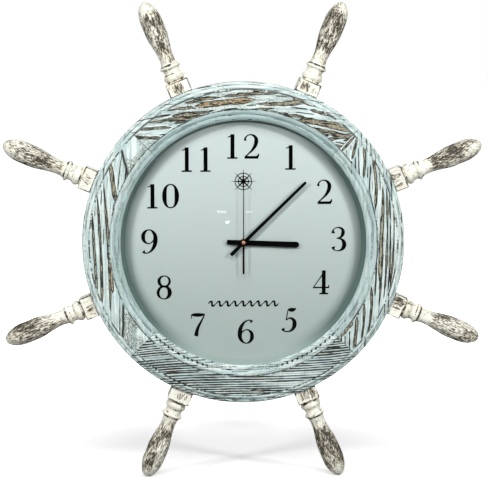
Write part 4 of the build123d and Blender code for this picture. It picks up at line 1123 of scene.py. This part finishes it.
stage = {
    "floorSize": 12.0,
    "floorTone": (0.30, 0.30, 0.30, 1.0),
    "cameraTone": (0.95, 0.95, 0.95, 1.0),
    "mirrorTone": (0.03, 0.03, 0.03, 1.0),
    "nearGlow": 0.28,
    "farGlow": 1.05,
    "glowStart": 0.32,
    "glowEnd": 0.62,
    "skyTone": (0.97, 0.985, 1.0, 1.0),
    "ambient": 0.10,
    "mirrored": 0.12,
    "floorSurface": {"roughness": 0.9, "specular": 0.0},
    "white": (1.0, 1.0, 1.0, 1.0),
}


def makeFloor():
    bm = bmesh.new()
    bmesh.ops.create_grid(bm, x_segments=1, y_segments=1, size=stage["floorSize"])
    bmesh.ops.translate(bm, vec=(0, 0, cadBox[0].z), verts=bm.verts[:])
    mesh = meshFrom("floor", bm)
    material, tree, shader = startMaterial("paleFloor")
    rays = rayKinds(tree)
    # the glass mirrors the floor in front of the clock, and shows it dark
    tone = blended(tree, rays["Is Glossy Ray"], stage["floorTone"], stage["mirrorTone"])
    setShader(tree, shader, colour=tone, **stage["floorSurface"])
    seen = addNode(tree, "BsdfDiffuse", {"Color": stage["cameraTone"]})
    far = addNode(tree, "VectorMath", {0: objectPlace(tree)}, operation="LENGTH").outputs["Value"]
    lit = ranged(tree, far, stage["glowStart"], stage["glowEnd"], stage["nearGlow"], stage["farGlow"])
    glow = addNode(tree, "Emission", {"Color": stage["white"], "Strength": lit})
    both = addNode(tree, "AddShader", {0: seen.outputs[0], 1: glow.outputs[0]})
    showMix(tree, rays["Is Camera Ray"], shader, both)
    mesh.materials.append(material)
    addObject("floor", mesh)


def makeWorld():
    world = bpy.data.worlds.new("studio")
    bpy.context.scene.world = world
    world.use_nodes = True
    tree = world.node_tree
    rays = rayKinds(tree)
    soft = tree.nodes["Background"]
    soft.inputs["Color"].default_value = stage["skyTone"]
    mirrored = maths(tree, "MULTIPLY", rays["Is Glossy Ray"], stage["mirrored"])
    tree.links.new(maths(tree, "ADD", mirrored, stage["ambient"]), soft.inputs["Strength"])
    plain = addNode(tree, "Background", {"Color": stage["white"], "Strength": 1.0})
    showMix(tree, rays["Is Camera Ray"], soft, plain, "World Output")


lamps = [
    {"name": "overheadLamp", "place": (0.0, -1.35, 1.25), "size": (1.2, 0.8), "power": 19.0},
    {"name": "leftLamp", "place": (-1.55, -1.50, 0.75), "size": (0.25, 0.25), "power": 21.0},
    {"name": "rightLamp", "place": (1.55, -1.50, 0.75), "size": (0.25, 0.25), "power": 21.0},
    {"name": "backLamp", "place": (0.6, 1.9, 1.5), "size": (1.2, 1.2), "power": 26.0},
    {"name": "glintLeft", "place": (0.013, -1.98, -0.142), "size": (0.022, 0.006), "power": 0.0012},
    {"name": "glintRight", "place": (0.077, -1.98, -0.142), "size": (0.016, 0.004), "power": 0.0006},
    {"name": "glintLow", "place": (0.027, -1.98, -0.166), "size": (0.010, 0.006), "power": 0.0012},
]


def makeLamp(name, place, size, power):
    light = bpy.data.lights.new(name, "AREA")
    light.shape = "RECTANGLE"
    light.size, light.size_y = size
    light.energy = power
    lamp = addObject(name, light)
    lamp.location = place
    lamp.rotation_euler = (-Vector(place)).to_track_quat("-Z", "Y").to_euler()


view = {"azimuth": -1.9, "elevation": 6.25, "distance": 2.0, "lens": 124.4, "aim": (0.00080, 0.0, -0.00025)}


def makeCamera():
    azimuth, elevation = math.radians(view["azimuth"]), math.radians(view["elevation"])
    back = Vector((math.sin(azimuth) * math.cos(elevation), -math.cos(azimuth) * math.cos(elevation),
                   math.sin(elevation)))
    camera = addObject("camera", bpy.data.cameras.new("camera"))
    camera.data.lens = view["lens"]
    camera.location = Vector(view["aim"]) + back * view["distance"]
    camera.rotation_euler = (-back).to_track_quat("-Z", "Y").to_euler()
    bpy.context.scene.camera = camera


makeFloor()
makeWorld()
for lamp in lamps:
    makeLamp(**lamp)
makeCamera()
bpy.context.scene.view_settings.view_transform = "Standard"
print("stage set")
